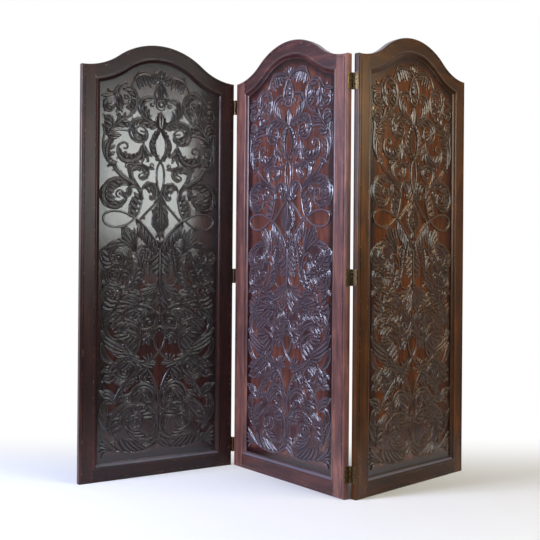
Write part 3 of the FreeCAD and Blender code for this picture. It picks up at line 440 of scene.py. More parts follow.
def draw_grounds(cut):
    """Broad fluted leaves that lie lowest, first those of the lower part, foot to top."""
    cut.mass((14, 34, 46, 42, 26), 6, 342, 134, 300, 122, 240, 126, 175, 138, 105, 146)
    cut.mass((12, 34, 38, 20), 4, 348, 205, 338, 165, 300, 132, 240, 122)
    cut.whorl(238, 232, 104, 185, -2.6, 5)
    cut.mass((10, 30, 36, 18), 4, 186, 306, 150, 278, 131, 235, 140, 185)
    cut.mass((16, 36, 30, 12), 4, 152, 325, 128, 345, 106, 360, 86, 372)
    cut.mass((12, 26, 28, 14), 3, 150, 318, 172, 360, 206, 402, 242, 442)
    cut.whorl(280, 342, 62, 200, -2.2, 4)
    cut.mass((10, 30, 24, 10), 4, 236, 316, 200, 330, 172, 345, 150, 338)
    cut.mass((12, 30, 30, 12), 4, 155, 455, 130, 440, 112, 425, 96, 412)
    cut.mass((12, 28, 26, 10), 4, 160, 488, 136, 474, 112, 462, 94, 452)
    cut.whorl(196, 448, 64, -30, 2.2, 4)
    cut.mass((12, 36, 32, 10), 4, 300, 476, 280, 452, 262, 426, 256, 400)
    cut.mass((16, 30, 26, 12), 4, 330, 474, 296, 478, 258, 474, 225, 484)
    cut.mass((20, 52, 64, 44, 14), 7, 252, 500, 206, 516, 160, 546, 122, 580, 92, 616)
    cut.whorl(212, 588, 62, 80, -1.9, 5)
    cut.mass((14, 30, 32, 12), 4, 172, 702, 128, 684, 106, 646, 120, 600)
    cut.mass((12, 34, 36, 16), 5, 134, 636, 175, 664, 216, 662, 260, 640)
    cut.whorl(266, 652, 84, 170, -2.3, 5)
    cut.mass((10, 26, 26, 10), 3, 290, 628, 296, 604, 286, 578, 272, 560)
    cut.mass((14, 38, 42, 18), 5, 174, 782, 164, 744, 140, 704, 102, 662)
    cut.mass((16, 38, 40, 14), 5, 172, 740, 215, 748, 258, 738, 304, 720)
    cut.mass((14, 54, 62, 26), 7, 346, 808, 326, 786, 300, 766, 274, 752)
    cut.mass((10, 30, 34, 12), 4, 346, 770, 334, 745, 318, 722, 304, 702)
    cut.mass((12, 30, 24, 8), 3, 140, 748, 132, 766, 126, 782, 116, 796)
    cut.whorl(143, 850, 56, -50, -2.3, 4)
    cut.mass((14, 32, 34, 14), 4, 284, 906, 266, 860, 240, 820, 198, 794)
    cut.mass((10, 30, 28, 10), 4, 226, 906, 212, 872, 198, 842, 186, 812)
    cut.mass((12, 42, 46, 20), 5, 345, 988, 332, 945, 322, 905, 310, 862)
    cut.mass((10, 40, 42, 12), 4, 261, 874, 270, 910, 277, 945, 286, 980)
    cut.mass((16, 44, 46, 16), 5, 152, 888, 116, 902, 102, 936, 124, 974)
    cut.whorl(160, 925, 66, 75, 2.2, 4)
    cut.mass((8, 50, 72, 34), 7, 244, 946, 226, 985, 204, 1018, 190, 1044)
    cut.mass((12, 36, 42, 36, 14), 6, 331, 944, 308, 984, 284, 1020, 262, 1050, 244, 1078)
    cut.mass((8, 76, 62, 8), 6, 348, 1164, 348, 1118, 348, 1080, 348, 1044)
    # broad leaves along the left edge of the lower part
    cut.mass((10, 34, 44, 34, 10), 5, 132, 196, 108, 236, 102, 276, 110, 316, 140, 342)
    cut.mass((10, 26, 30, 12), 3, 150, 480, 118, 500, 100, 530, 92, 566)
    cut.mass((12, 30, 36, 14), 4, 168, 650, 132, 672, 110, 700, 104, 736)
    cut.mass((10, 30, 38, 16), 4, 286, 744, 244, 772, 204, 784, 164, 772)
    cut.mass((10, 26, 30, 12), 3, 150, 776, 128, 790, 110, 806, 96, 826)
    cut.mass((14, 34, 34, 12), 4, 300, 560, 282, 590, 288, 622, 310, 648)
    cut.mass((12, 30, 30, 14), 4, 190, 800, 150, 806, 116, 800, 92, 782)
    cut.mass((12, 30, 34, 16), 4, 316, 300, 334, 262, 340, 214, 334, 168)
    # broad leaves inside the scrolls of the upper part
    cut.mass((10, 24, 44, 56, 54, 34, 12), 5, 228, 1226, 178, 1236, 126, 1220, 106, 1186, 120, 1154,
        160, 1144, 196, 1168)
    cut.mass((8, 20, 26, 12), 3, 206, 1228, 214, 1204, 196, 1186, 168, 1190)
    cut.mass((10, 34, 40, 20), 4, 248, 1190, 232, 1160, 222, 1130, 214, 1104)
    cut.mass((8, 24, 30, 26, 10), 4, 268, 1216, 292, 1236, 320, 1226, 328, 1198, 308, 1182)
    cut.mass((8, 26, 30, 24, 8), 4, 236, 1300, 262, 1306, 284, 1290, 280, 1268, 258, 1262)
    cut.mass((10, 30, 46, 40, 14), 5, 262, 1392, 250, 1354, 214, 1336, 174, 1348, 158, 1380)
    cut.mass((10, 26, 32, 22, 8), 3, 122, 1312, 108, 1350, 110, 1392, 130, 1424)
    cut.mass((10, 36, 44, 24), 4, 102, 1506, 114, 1484, 120, 1462, 116, 1436)
    cut.mass((8, 28, 36, 28, 10), 4, 180, 1628, 214, 1622, 230, 1596, 222, 1568, 198, 1556)
    cut.mass((8, 22, 26, 10), 3, 168, 1600, 172, 1572, 164, 1548, 150, 1530)
    cut.mass((8, 26, 34, 26, 8), 4, 226, 1482, 232, 1450, 254, 1426, 280, 1436, 286, 1462)
    cut.mass((8, 20, 22, 10), 3, 240, 1494, 268, 1498, 292, 1486, 310, 1474)
    cut.mass((10, 30, 34, 12), 4, 228, 1676, 258, 1696, 294, 1692, 324, 1670)
    cut.mass((10, 26, 36, 26, 10), 4, 304, 1598, 268, 1588, 260, 1556, 278, 1524, 316, 1498)
    cut.mass((6, 24, 30, 24, 6), 3, 344, 1462, 318, 1430, 310, 1402, 318, 1372, 342, 1344)
    cut.mass((10, 22, 26, 12), 3, 152, 1520, 176, 1498, 196, 1480, 212, 1468)
    cut.mass((10, 24, 26, 12), 3, 100, 1584, 104, 1552, 124, 1540, 140, 1552)


def draw_foot(cut):
    """The lower part, from the foot to mid height."""
    # corner leaf along the foot
    cut.stem((10, 11, 9), 2, 345, 140, 312, 118, 270, 106, 230, 107, 190, 113, 150, 122, 122, 125,
        100, 110)
    cut.blades((9, 125, 122, 108, 116, 96, 101), (9, 135, 122, 110, 127, 87, 122),
        (9, 140, 124, 112, 136, 85, 142), (10, 148, 122, 115, 145, 85, 160),
        (12, 160, 120, 122, 152, 92, 183), (10, 290, 114, 262, 130, 232, 152),
        (10, 268, 110, 240, 132, 214, 157), (10, 245, 109, 215, 134, 196, 158),
        (11, 218, 110, 192, 137, 178, 166), (12, 188, 114, 166, 140, 157, 168),
        (11, 345, 197, 330, 184, 309, 174), (10, 343, 176, 326, 164, 308, 155),
        (10, 338, 156, 320, 142, 301, 122))
    # great volute at the foot
    cut.stem((14, 14, 12), 3, 205, 262, 222, 286, 252, 301, 288, 298, 318, 280, 337, 250, 342, 215,
        334, 184, 312, 160, 280, 152, 248, 160, 222, 180, 207, 208, 207, 238)
    cut.stem((12, 11, 8), 2, 160, 232, 176, 252, 200, 276, 228, 297)
    cut.stem((11, 10, 6), 2, spiral(240, 232, 44, 10, 205, 470))
    cut.bead(240, 232, 7)
    cut.blades((10, 292, 296, 285, 280, 262, 276), (10, 318, 276, 300, 264, 274, 262),
        (10, 330, 255, 308, 248, 276, 249), (9, 215, 200, 238, 186, 268, 184),
        (9, 228, 182, 250, 172, 284, 172), (9, 250, 165, 270, 158, 290, 160),
        (9, 220, 290, 215, 275, 214, 262), (9, 236, 298, 232, 283, 231, 268))
    # outer stem at the left of the foot volute
    cut.stem((6, 5, 4), 1, 84, 285, 100, 272, 112, 248, 118, 215)
    cut.stem((15, 17, 9), 3, 182, 304, 160, 290, 142, 270, 132, 246, 129, 220, 132, 196, 140, 180)
    cut.blades((10, 138, 200, 152, 209, 173, 214), (10, 134, 222, 148, 232, 162, 240),
        (10, 138, 248, 150, 252, 170, 254))
    # row above
    cut.blades((10, 150, 322, 128, 340, 103, 345), (10, 152, 334, 128, 355, 103, 360),
        (10, 152, 346, 128, 368, 102, 376), (9, 140, 318, 122, 322, 110, 312),
        (10, 228, 330, 200, 336, 172, 322), (11, 232, 352, 200, 348, 164, 340))
    cut.stem((12, 15, 10), 3, 150, 332, 160, 350, 174, 370, 194, 394, 217, 420, 240, 444)
    cut.blades((9, 176, 362, 196, 376, 214, 380), (9, 192, 384, 214, 398, 236, 402),
        (9, 206, 402, 228, 412, 252, 402))
    cut.stem((8, 12, 10), 2, 262, 478, 285, 462, 307, 438, 324, 405, 337, 370, 345, 335, 345, 305,
        335, 275)
    cut.stem((10, 13, 8), 2, 216, 330, 224, 356, 242, 380, 270, 392, 296, 387, 318, 374, 340, 362)
    cut.stem((12, 12, 6), 2, 232, 318, 236, 344, 252, 366, 278, 376, 304, 368, 322, 348, 322, 325,
        308, 312, 290, 314, 280, 328, 288, 342, 300, 340)
    cut.bead(298, 330, 6)
    cut.blades((9, 268, 358, 252, 345, 238, 330), (9, 276, 350, 262, 336, 250, 318),
        (9, 262, 366, 246, 356, 234, 342))
    # volute and leaves at mid height of the lower part
    cut.blades((9, 160, 430, 145, 418, 136, 410), (9, 148, 418, 124, 406, 104, 416),
        (8, 150, 436, 128, 432, 106, 435), (8, 148, 450, 128, 450, 105, 450),
        (8, 150, 466, 130, 468, 106, 471), (11, 156, 458, 142, 446, 128, 432),
        (12, 162, 492, 140, 474, 120, 454))
    cut.stem((12, 12, 7), 2, spiral(196, 448, 56, 11, -30, 560))
    cut.bead(196, 449, 7)
    cut.blades((10, 200, 488, 186, 474, 170, 462), (10, 214, 480, 200, 466, 182, 452),
        (10, 292, 452, 276, 438, 258, 420), (10, 294, 436, 286, 420, 280, 402),
        (9, 276, 458, 258, 446, 244, 428))


def draw_middle(cut):
    """The lower part, from mid height to below the great volutes."""
    # leaf ends that meet the central lens
    cut.stem((9, 12, 9), 2, 160, 524, 182, 516, 210, 508, 236, 492, 262, 480, 290, 480)
    cut.blades((10, 262, 478, 292, 466, 318, 457), (10, 266, 484, 298, 476, 326, 470))
    cut.stem((9, 11, 9), 2, 286, 588, 304, 598, 320, 614, 335, 628, 349, 632, 366, 620, 374, 595, 371, 565,
        360, 540, 342, 518, 322, 498, 298, 487, 272, 486, 246, 494, 224, 506, 204, 520, top=4.8)
    cut.blades((9, 286, 484, 306, 484, 328, 487), (8, 294, 488, 286, 498, 276, 507),
        (8, 302, 488, 300, 502, 296, 514), (8, 310, 490, 314, 504, 312, 518))
    # leaf left of the lens
    cut.blades((10, 322, 604, 306, 584, 290, 558), (9, 306, 596, 290, 588, 276, 570),
        (9, 304, 604, 288, 602, 272, 594))
    cut.bead(318, 581, 5)
    # long blades at the left
    cut.blades((10, 196, 512, 178, 510, 158, 512), (10, 186, 522, 142, 536, 104, 562),
        (10, 186, 534, 142, 554, 102, 580), (11, 190, 546, 146, 570, 105, 597),
        (9, 200, 604, 176, 600, 146, 598), (9, 214, 596, 190, 586, 164, 584),
        (10, 224, 590, 204, 572, 184, 556), (10, 236, 578, 218, 560, 200, 540),
        (10, 246, 560, 232, 544, 214, 530), (10, 256, 545, 244, 528, 226, 512))
    cut.stem((9, 9, 6), 1, 236, 610, 252, 596, 260, 574, 256, 552, 254, 534)
    # lower half of the big mid volute, and the one left of it
    cut.stem((9, 9, 7), 2, 150, 612, 176, 622, 206, 620, 232, 608, 250, 590)
    cut.stem((9, 10, 7), 2, 160, 640, 190, 650, 218, 646, 242, 634, 258, 614)
    cut.stem((9, 10, 7), 2, 140, 652, 170, 668, 204, 664, 236, 650, 262, 634)
    cut.blades((10, 200, 654, 176, 640, 156, 622), (10, 184, 656, 160, 644, 140, 624),
        (9, 216, 650, 196, 636, 176, 620))
    cut.stem((10, 13, 10), 2, 168, 694, 142, 686, 120, 672, 108, 650, 112, 624, 124, 602)
    cut.blades((9, 124, 686, 112, 668, 98, 654))
    # big mid volute
    cut.stem((12, 13, 12), 3, 150, 676, 182, 704, 216, 722, 256, 728, 296, 719, 326, 698, 339, 668,
        332, 640, 310, 624, 288, 630, 279, 648, 287, 664, 302, 663)
    cut.stem((9, 10, 7), 2, 178, 664, 198, 690, 226, 702, 252, 696, 270, 682, 276, 664)
    cut.bead(303, 650, 8)
    cut.blades((9, 232, 698, 222, 686, 206, 676), (9, 256, 696, 244, 684, 230, 668),
        (9, 278, 700, 270, 686, 262, 672))
    cut.stem((10, 9, 7), 2, 338, 668, 322, 640, 302, 626, 276, 622, 258, 632, 254, 650, 266, 662)
    # pearls on the centre line
    for k in range(6):
        cut.bead(CENTRE_LINE, 655 + 11 * k, PEARL)
    # leaves of the middle row
    cut.stem((14, 13, 9), 2, 168, 776, 162, 752, 150, 728, 132, 704, 112, 684, 100, 660)
    cut.blades((10, 158, 742, 136, 742, 112, 756), (10, 150, 726, 128, 724, 100, 742),
        (10, 138, 710, 118, 708, 94, 722), (10, 194, 704, 178, 702, 152, 702),
        (10, 204, 722, 184, 722, 156, 716))
    cut.stem((9, 9, 7), 2, 170, 742, 196, 738, 222, 730, 250, 726)
    cut.blades((11, 250, 730, 226, 744, 200, 748), (11, 262, 740, 236, 756, 204, 756),
        (11, 262, 748, 220, 766, 180, 752), (9, 128, 762, 120, 772, 108, 778),
        (9, 132, 764, 130, 778, 120, 790), (9, 136, 764, 142, 776, 140, 790))
    cut.bead(133, 764, 6)
    # fan of leaves below the centre scroll
    cut.blades((11, 347, 800, 347, 765, 343, 728), (12, 345, 802, 336, 770, 324, 738),
        (9, 344, 760, 326, 738, 306, 722), (9, 344, 745, 330, 722, 316, 706),
        (12, 342, 806, 322, 778, 308, 754), (12, 338, 806, 306, 776, 278, 750),
        (12, 334, 808, 300, 782, 258, 764), (12, 332, 812, 298, 794, 262, 787))


def draw_great_volutes(cut):
    """The great volutes, the centre column and the diamond over it."""
    # left volute below the great one
    cut.stem((10, 12, 7), 2, spiral(143, 850, 46, 10, -50, -640))
    cut.bead(143, 850, 7)
    cut.blades((9, 206, 846, 192, 852, 176, 848), (9, 214, 858, 198, 868, 180, 864))
    cut.stem((6, 7, 5), 2, 100, 806, 130, 796, 160, 796, 176, 780)
    # long leaf right of it
    cut.stem((10, 11, 8), 2, 280, 900, 272, 864, 257, 834, 238, 808, 214, 792, 194, 788)
    cut.blades((10, 232, 806, 214, 806, 196, 794), (10, 240, 782, 226, 780, 208, 782),
        (11, 246, 822, 226, 818, 208, 802), (11, 258, 842, 238, 836, 218, 816),
        (11, 264, 862, 246, 858, 226, 836), (11, 268, 882, 252, 878, 234, 860))
    # centre column
    cut.blades((11, 347, 880, 332, 862, 312, 850), (12, 347, 904, 330, 886, 306, 872),
        (12, 347, 930, 328, 908, 304, 890), (13, 347, 956, 326, 932, 299, 909),
        (12, 347, 982, 336, 962, 322, 944))
    cut.stem((11, 10, 6), 2, 347, 872, 342, 840, 326, 816, 302, 805, 282, 810, 269, 824)
    cut.bead(267, 830, 6)
    cut.stem((8, 10, 8), 1, 348, 1000, 348, 950, 348, 900, 348, 850, 348, 815, top=5.6)
    cut.blades((9, 347, 970, 340, 986, 334, 998), (9, 348, 975, 348, 990, 348, 1003))
    # right leaf of the great volute
    cut.leaf((-1, 1), 6, (24, 26, 20, 12), 38, 10, 5, 264, 880, 270, 912, 276, 944, 284, 974)
    cut.stem((8, 9, 6), 1, 248, 960, 262, 972, 278, 978, 288, 968)
    cut.stem((12, 11, 7), 2, 262, 880, 258, 912, 244, 936, 222, 945, 205, 936, 202, 918, 214, 907,
        228, 912)
    cut.blades((8, 250, 890, 240, 906, 226, 912))
    # great left volute
    cut.blades((10, 196, 912, 190, 897, 180, 880), (10, 182, 910, 174, 896, 162, 880),
        (10, 167, 910, 158, 896, 145, 880), (11, 150, 896, 122, 882, 98, 884),
        (11, 144, 908, 116, 898, 92, 906), (11, 140, 920, 114, 914, 93, 930),
        (14, 140, 934, 116, 938, 96, 952), (11, 150, 968, 132, 958, 116, 950),
        (11, 166, 980, 140, 972, 110, 962), (11, 178, 990, 150, 990, 118, 976))
    cut.stem((9, 13, 7), 2, [(243, 950), (222, 970), (192, 980), (162, 976)]
             + spiral(160, 925, 44, 9, 100, 520))
    cut.bead(161, 924, 8)
    # upright fan leaf
    cut.blades((9, 240, 950, 206, 980, 164, 1002), (10, 240, 953, 212, 988, 176, 1020),
        (10, 241, 955, 220, 995, 186, 1043), (10, 241, 957, 230, 1000, 210, 1046),
        (10, 242, 960, 240, 1005, 232, 1048))
    cut.stem((7, 7, 5), 1, 243, 946, 246, 980, 246, 1020)
    # sweeping leaf under the diamond
    cut.blades((13, 328, 996, 328, 968, 326, 938), (14, 314, 1012, 314, 984, 308, 952),
        (14, 298, 1032, 298, 1000, 294, 966), (14, 282, 1050, 283, 1018, 278, 988),
        (14, 266, 1064, 268, 1032, 266, 1000), (14, 250, 1074, 252, 1044, 254, 1012))
    # bell flower and hanging leaf
    cut.blades((9, 346, 1042, 338, 1030, 331, 1009), (11, 348, 1044, 348, 1028, 348, 1006))
    cut.leaf((1, -1), 9, (18, 58, 66, 56, 42, 30, 18), 44, 13, 6,
        348, 1160, 348, 1125, 348, 1085, 348, 1047)
    # diamond and loops
    cut.stem((11, 11, 11), 2, 350, 1186, 340, 1170, 318, 1148, 290, 1120, 268, 1096, 250, 1078, top=4.4)
    # vertical leaf over the loop
    cut.blades((10, 243, 1098, 230, 1096, 216, 1102), (13, 248, 1108, 232, 1114, 214, 1128),
        (13, 252, 1128, 236, 1138, 216, 1155), (13, 255, 1150, 240, 1162, 223, 1176),
        (13, 257, 1172, 246, 1182, 232, 1196))
    # main strand: from the upper stem through the loop to the sweeping leaf
    cut.stem((24, 20, 12, 10, 9, 9, 9, 9, 9, 9, 9, 10), 1, 209, 1304, 213, 1282, 221, 1256, 240, 1231,
        256, 1208, 264, 1185, 262, 1158, 256, 1130, 246, 1106, 230, 1086, 205, 1066, 175, 1054, 148, 1050,
        120, 1056, 101, 1072, 97, 1092, 108, 1107, 130, 1115, 150, 1117, 178, 1114, 205, 1105, 232, 1092,
        256, 1078, 281, 1055, 306, 1026, 326, 1000, 334, 975, top=4.6)


def draw_pearls(cut):
    """Chains of pearls along the scrolls of the lower part."""
    cut.beads(9, 262, 462, 282, 446, 300, 424, 316, 396, 328, 364)
    cut.beads(9, 222, 272, 246, 288, 276, 290, 304, 276, 322, 252)
    cut.beads(7, 120, 270, 116, 244, 118, 216, 126, 190)
    cut.beads(8, 176, 344, 196, 366, 222, 392, 246, 418)
    cut.beads(7, 150, 470, 168, 492, 196, 502, 226, 494)
    cut.beads(5, 300, 584, 318, 596, 334, 608, 349, 614)
    cut.beads(9, 180, 692, 206, 712, 240, 716, 276, 714, 306, 698)
    cut.beads(8, 118, 838, 122, 872, 146, 890, 178, 884)
    cut.beads(9, 290, 900, 296, 930, 304, 962, 312, 992)


def draw_upper_volutes(cut):
    """The upper part's volutes and leaves, beside the lens and the oval."""
    # leafy volute
    cut.blades((12, 140, 1250, 156, 1240, 170, 1232), (12, 112, 1232, 132, 1230, 158, 1218),
        (12, 101, 1212, 118, 1206, 140, 1196), (12, 100, 1190, 120, 1182, 146, 1172),
        (12, 104, 1168, 126, 1162, 150, 1158))
    cut.stem((12, 16, 16, 12, 9, 7), 3, 222, 1234, 196, 1248, 168, 1254, 138, 1250, 113, 1234, 97, 1208,
        94, 1180, 103, 1156, 122, 1139, 148, 1133, 172, 1141, 186, 1160, 188, 1182, 180, 1199, 164, 1204,
        152, 1194, 154, 1179, 165, 1176)
    cut.blades((9, 120, 1150, 140, 1148, 158, 1150))
    cut.stem((22, 20, 16, 12), 2, 140, 1316, 146, 1300, 160, 1281, 182, 1263, 206, 1250, 228, 1236,
        246, 1217, 258, 1196, 264, 1176)
    cut.stem((12, 11, 7), 2, 264, 1190, 251, 1212, 232, 1222, 212, 1220, 199, 1208, 199, 1195, 207, 1190,
        212, 1199)
    # inner volute beside the lens
    cut.blades((10, 276, 1226, 290, 1216, 300, 1200), (10, 296, 1238, 306, 1222, 310, 1202),
        (9, 318, 1228, 320, 1210, 314, 1194))
    cut.stem((8, 11, 7), 2, 268, 1178, 264, 1203, 271, 1226, 288, 1240, 306, 1242, 322, 1231, 330, 1210,
        327, 1187, 314, 1172, 301, 1176, 301, 1188)
    # volute with the small curl
    cut.blades((10, 228, 1290, 242, 1299, 256, 1290))
    cut.stem((14, 13, 11, 8), 2, 224, 1256, 217, 1284, 222, 1304, 237, 1317, 257, 1319, 277, 1312,
        291, 1298, 293, 1279, 284, 1263, 268, 1255, 254, 1261, 252, 1272)
    cut.stem((6, 7, 6), 1, 258, 1310, 272, 1298, 268, 1284, 254, 1276)
    cut.blades((10, 272, 1316, 294, 1306, 319, 1303))
    cut.ring(309, 1318, 8, 5)
    cut.stem((8, 7, 5), 1, 226, 1322, 211, 1318, 199, 1318, 191, 1309, 196, 1300, 206, 1303)
    # crescent leaf with its curl
    cut.blades((10, 262, 1362, 252, 1364, 241, 1366), (11, 246, 1342, 236, 1352, 226, 1359),
        (11, 226, 1334, 216, 1346, 211, 1358), (12, 202, 1330, 194, 1348, 188, 1366),
        (11, 180, 1336, 174, 1352, 168, 1370))
    cut.stem((12, 16, 16, 10, 7), 3, 268, 1400, 262, 1370, 250, 1350, 228, 1334, 202, 1328, 177, 1334,
        161, 1351, 156, 1373, 162, 1393, 178, 1404, 193, 1403, 200, 1391, 194, 1380, 184, 1382)
    # three-lobed leaf
    cut.blades((12, 271, 1392, 272, 1355, 264, 1327), (12, 271, 1392, 284, 1360, 294, 1334),
        (14, 271, 1402, 286, 1374, 307, 1356))
    cut.stem((10, 8, 5), 1, 271, 1410, 271, 1392, 272, 1375)
    # volute beside the oval
    cut.blades((10, 268, 1508, 248, 1500, 238, 1482), (10, 244, 1506, 228, 1490, 224, 1468),
        (10, 224, 1490, 216, 1470, 224, 1450))
    cut.stem((8, 13, 11, 9, 7), 2, 338, 1490, 312, 1503, 286, 1512, 260, 1514, 236, 1508, 217, 1493,
        207, 1471, 208, 1447, 219, 1426, 238, 1414, 259, 1413, 277, 1424, 284, 1444, 281, 1464, 268, 1477,
        250, 1479, 239, 1468, 241, 1453, 252, 1448)
    cut.blades((7, 276, 1456, 266, 1458, 256, 1460), (7, 276, 1440, 266, 1442, 258, 1446),
        (7, 266, 1424, 256, 1430, 252, 1440), (10, 312, 1500, 282, 1494, 253, 1487),
        (11, 328, 1492, 304, 1488, 285, 1477), (12, 342, 1484, 324, 1484, 304, 1472))


def draw_shoulders(cut):
    """The side stems, the side volutes and the large scrolls at the shoulders."""
    # side stem and its leaves
    cut.stem((9, 10, 10), 2, 94, 1466, 99, 1440, 95, 1410, 93, 1380, 99, 1350, 112, 1325, 130, 1306)
    cut.blades((10, 114, 1326, 124, 1334, 134, 1330), (14, 112, 1346, 126, 1352, 142, 1360),
        (13, 111, 1368, 126, 1378, 143, 1388), (12, 114, 1390, 126, 1400, 137, 1412))
    cut.stem((10, 12, 8), 2, 118, 1318, 110, 1345, 110, 1375, 118, 1400, 130, 1414)
    cut.blades((14, 116, 1302, 133, 1313, 152, 1321), (18, 122, 1426, 144, 1433, 166, 1434),
        (8, 116, 1420, 136, 1418, 156, 1423))
    cut.stem((8, 9, 9), 1, 118, 1432, 140, 1450, 164, 1457, 204, 1456)
    cut.blades((8, 112, 1442, 114, 1454, 120, 1464), (8, 122, 1442, 130, 1456, 142, 1464),
        (11, 128, 1456, 110, 1464, 90, 1471), (12, 132, 1472, 116, 1484, 100, 1484),
        (11, 134, 1482, 122, 1498, 104, 1500))
    cut.stem((9, 10, 7), 1, 136, 1468, 139, 1484, 133, 1501, 120, 1511, 105, 1509, 98, 1498)
    cut.blades((12, 140, 1466, 164, 1474, 188, 1471), (12, 152, 1484, 176, 1494, 204, 1494),
        (12, 150, 1482, 160, 1502, 164, 1524), (10, 172, 1498, 184, 1512, 188, 1530))
    cut.stem((10, 12, 12), 2, 128, 1452, 148, 1478, 176, 1500, 204, 1516, 224, 1534)
    # side volute
    cut.stem((9, 11, 12, 10), 2, 150, 1622, 143, 1598, 146, 1574, 144, 1554, 134, 1538, 118, 1530,
        103, 1535, 96, 1549, 99, 1564, 110, 1572)
    cut.blades((16, 99, 1556, 108, 1569, 128, 1566), (9, 124, 1534, 118, 1544, 106, 1548))
    # large scroll at the shoulder
    cut.blades((10, 138, 1610, 124, 1608, 111, 1620), (14, 140, 1606, 116, 1598, 88, 1591))
    cut.stem((10, 12, 10), 2, 214, 1645, 190, 1650, 166, 1643, 149, 1627, 138, 1608)
    cut.blades((14, 164, 1596, 160, 1564, 174, 1532), (9, 154, 1592, 150, 1566, 156, 1544),
        (10, 220, 1536, 208, 1548, 194, 1552), (10, 230, 1548, 220, 1560, 208, 1568),
        (10, 236, 1562, 226, 1576, 213, 1584), (12, 240, 1590, 226, 1610, 204, 1612),
        (12, 234, 1614, 214, 1628, 184, 1624))
    cut.stem((14, 17, 15, 12, 10, 8, 6), 2, 212, 1524, 230, 1545, 239, 1570, 240, 1597, 232, 1622,
        214, 1640, 192, 1645, 172, 1636, 161, 1617, 160, 1595, 169, 1576, 185, 1567, 200, 1574, 204, 1590,
        196, 1602, 183, 1602)
    cut.bead(190, 1592, 8)


def draw_crown(cut):
    """The crossing strands, and the bud, spray, pod and boss over them."""
    # inner scroll with three blades
    cut.blades((9, 300, 1512, 292, 1534, 294, 1555), (9, 284, 1516, 278, 1544, 282, 1566),
        (9, 268, 1522, 264, 1560, 277, 1587))
    # crossing strand: scroll, side of the oval, lens and diamond
    cut.stem((12, 12, 11, 9, 9, 9, 9, 9, 10), 2, 330, 1592, 316, 1604, 298, 1609, 278, 1605, 262, 1593,
        253, 1575, 252, 1555, 258, 1535, 270, 1518, 290, 1506, 314, 1496, 336, 1484, 353, 1467, 367, 1446,
        373, 1418, 373, 1390, 366, 1364, 351, 1340, 337, 1318, 331, 1290, 331, 1260, 336, 1230, 344, 1206,
        354, 1186, 368, 1166, top=4.6)
    cut.bead(308, 1576, 10)
    cut.leaf((1,), 8, (12, 26, 30, 28, 22, 14), 50, 12, 5,
        345, 1336, 333, 1360, 325, 1390, 325, 1420, 332, 1446, 345, 1468)
    # bud over the crossing
    cut.blades((9, 345, 1482, 332, 1494, 321, 1506), (12, 346, 1484, 336, 1502, 328, 1522),
        (26, 348, 1482, 348, 1512, 348, 1542))
    # arching spray, pod and boss
    cut.blades((9, 302, 1692, 316, 1682, 330, 1680), (9, 288, 1696, 302, 1682, 314, 1666),
        (10, 274, 1698, 290, 1676, 300, 1650), (9, 262, 1696, 274, 1674, 280, 1655),
        (9, 250, 1690, 262, 1668, 267, 1649), (13, 236, 1680, 246, 1660, 253, 1638))
    cut.stem((8, 13, 10), 2, 217, 1648, 226, 1668, 242, 1688, 266, 1699, 292, 1700, 316, 1694, 336, 1684)
    cut.leaf((1, -1), 5, (20, 26, 20, 10), 36, 10, 6, 348, 1594, 348, 1625, 348, 1668)
    cut.stem((8, 10, 11), 2, 304, 1702, 326, 1692, 346, 1676, 362, 1656, 373, 1632, 377, 1610,
        374, 1588, top=4.8)
    cut.ring(348, 1578, 20, 8)
    cut.bead(348, 1580, 13)
    cut.blades((9, 346, 1690, 330, 1700, 314, 1709), (10, 347, 1690, 338, 1704, 330, 1720),
        (11, 348, 1690, 348, 1706, 348, 1725))


# the order in which the parts are laid on each other
PATTERN = (draw_grounds, draw_foot, draw_middle, draw_great_volutes,
           draw_pearls, draw_upper_volutes, draw_shoulders, draw_crown)


# carved boards

# thickness of the slice in which a point counts as on the board's foot, rear or face, and how
# near the ground's level a point of the carving still counts as ground, in millimetres
EDGE = 0.5
LEVEL = 0.25
# how many planks a carved board is glued up from
PLANKS = 4
# the carving counts as relief, with the relief's stain and painted shade, from this height up
RELIEF_TONE_HEIGHT = 1.5
# the recesses' wax and painted shade: radius over which heights are compared, and weight, near and wide
NEAR_HOLLOWS = (1.6, 0.9)
WIDE_HOLLOWS = (5, 0.18)
# width of a tool mark in millimetres, the seed of their pattern, and the angle past which an
# edge stays sharp
TOOL_MARK = 3
MARKS_SEED = 7
SMOOTH_ANGLE = 36
# keeps a sampled point's four neighbours inside the height map
SHORT_OF_END = 1.001


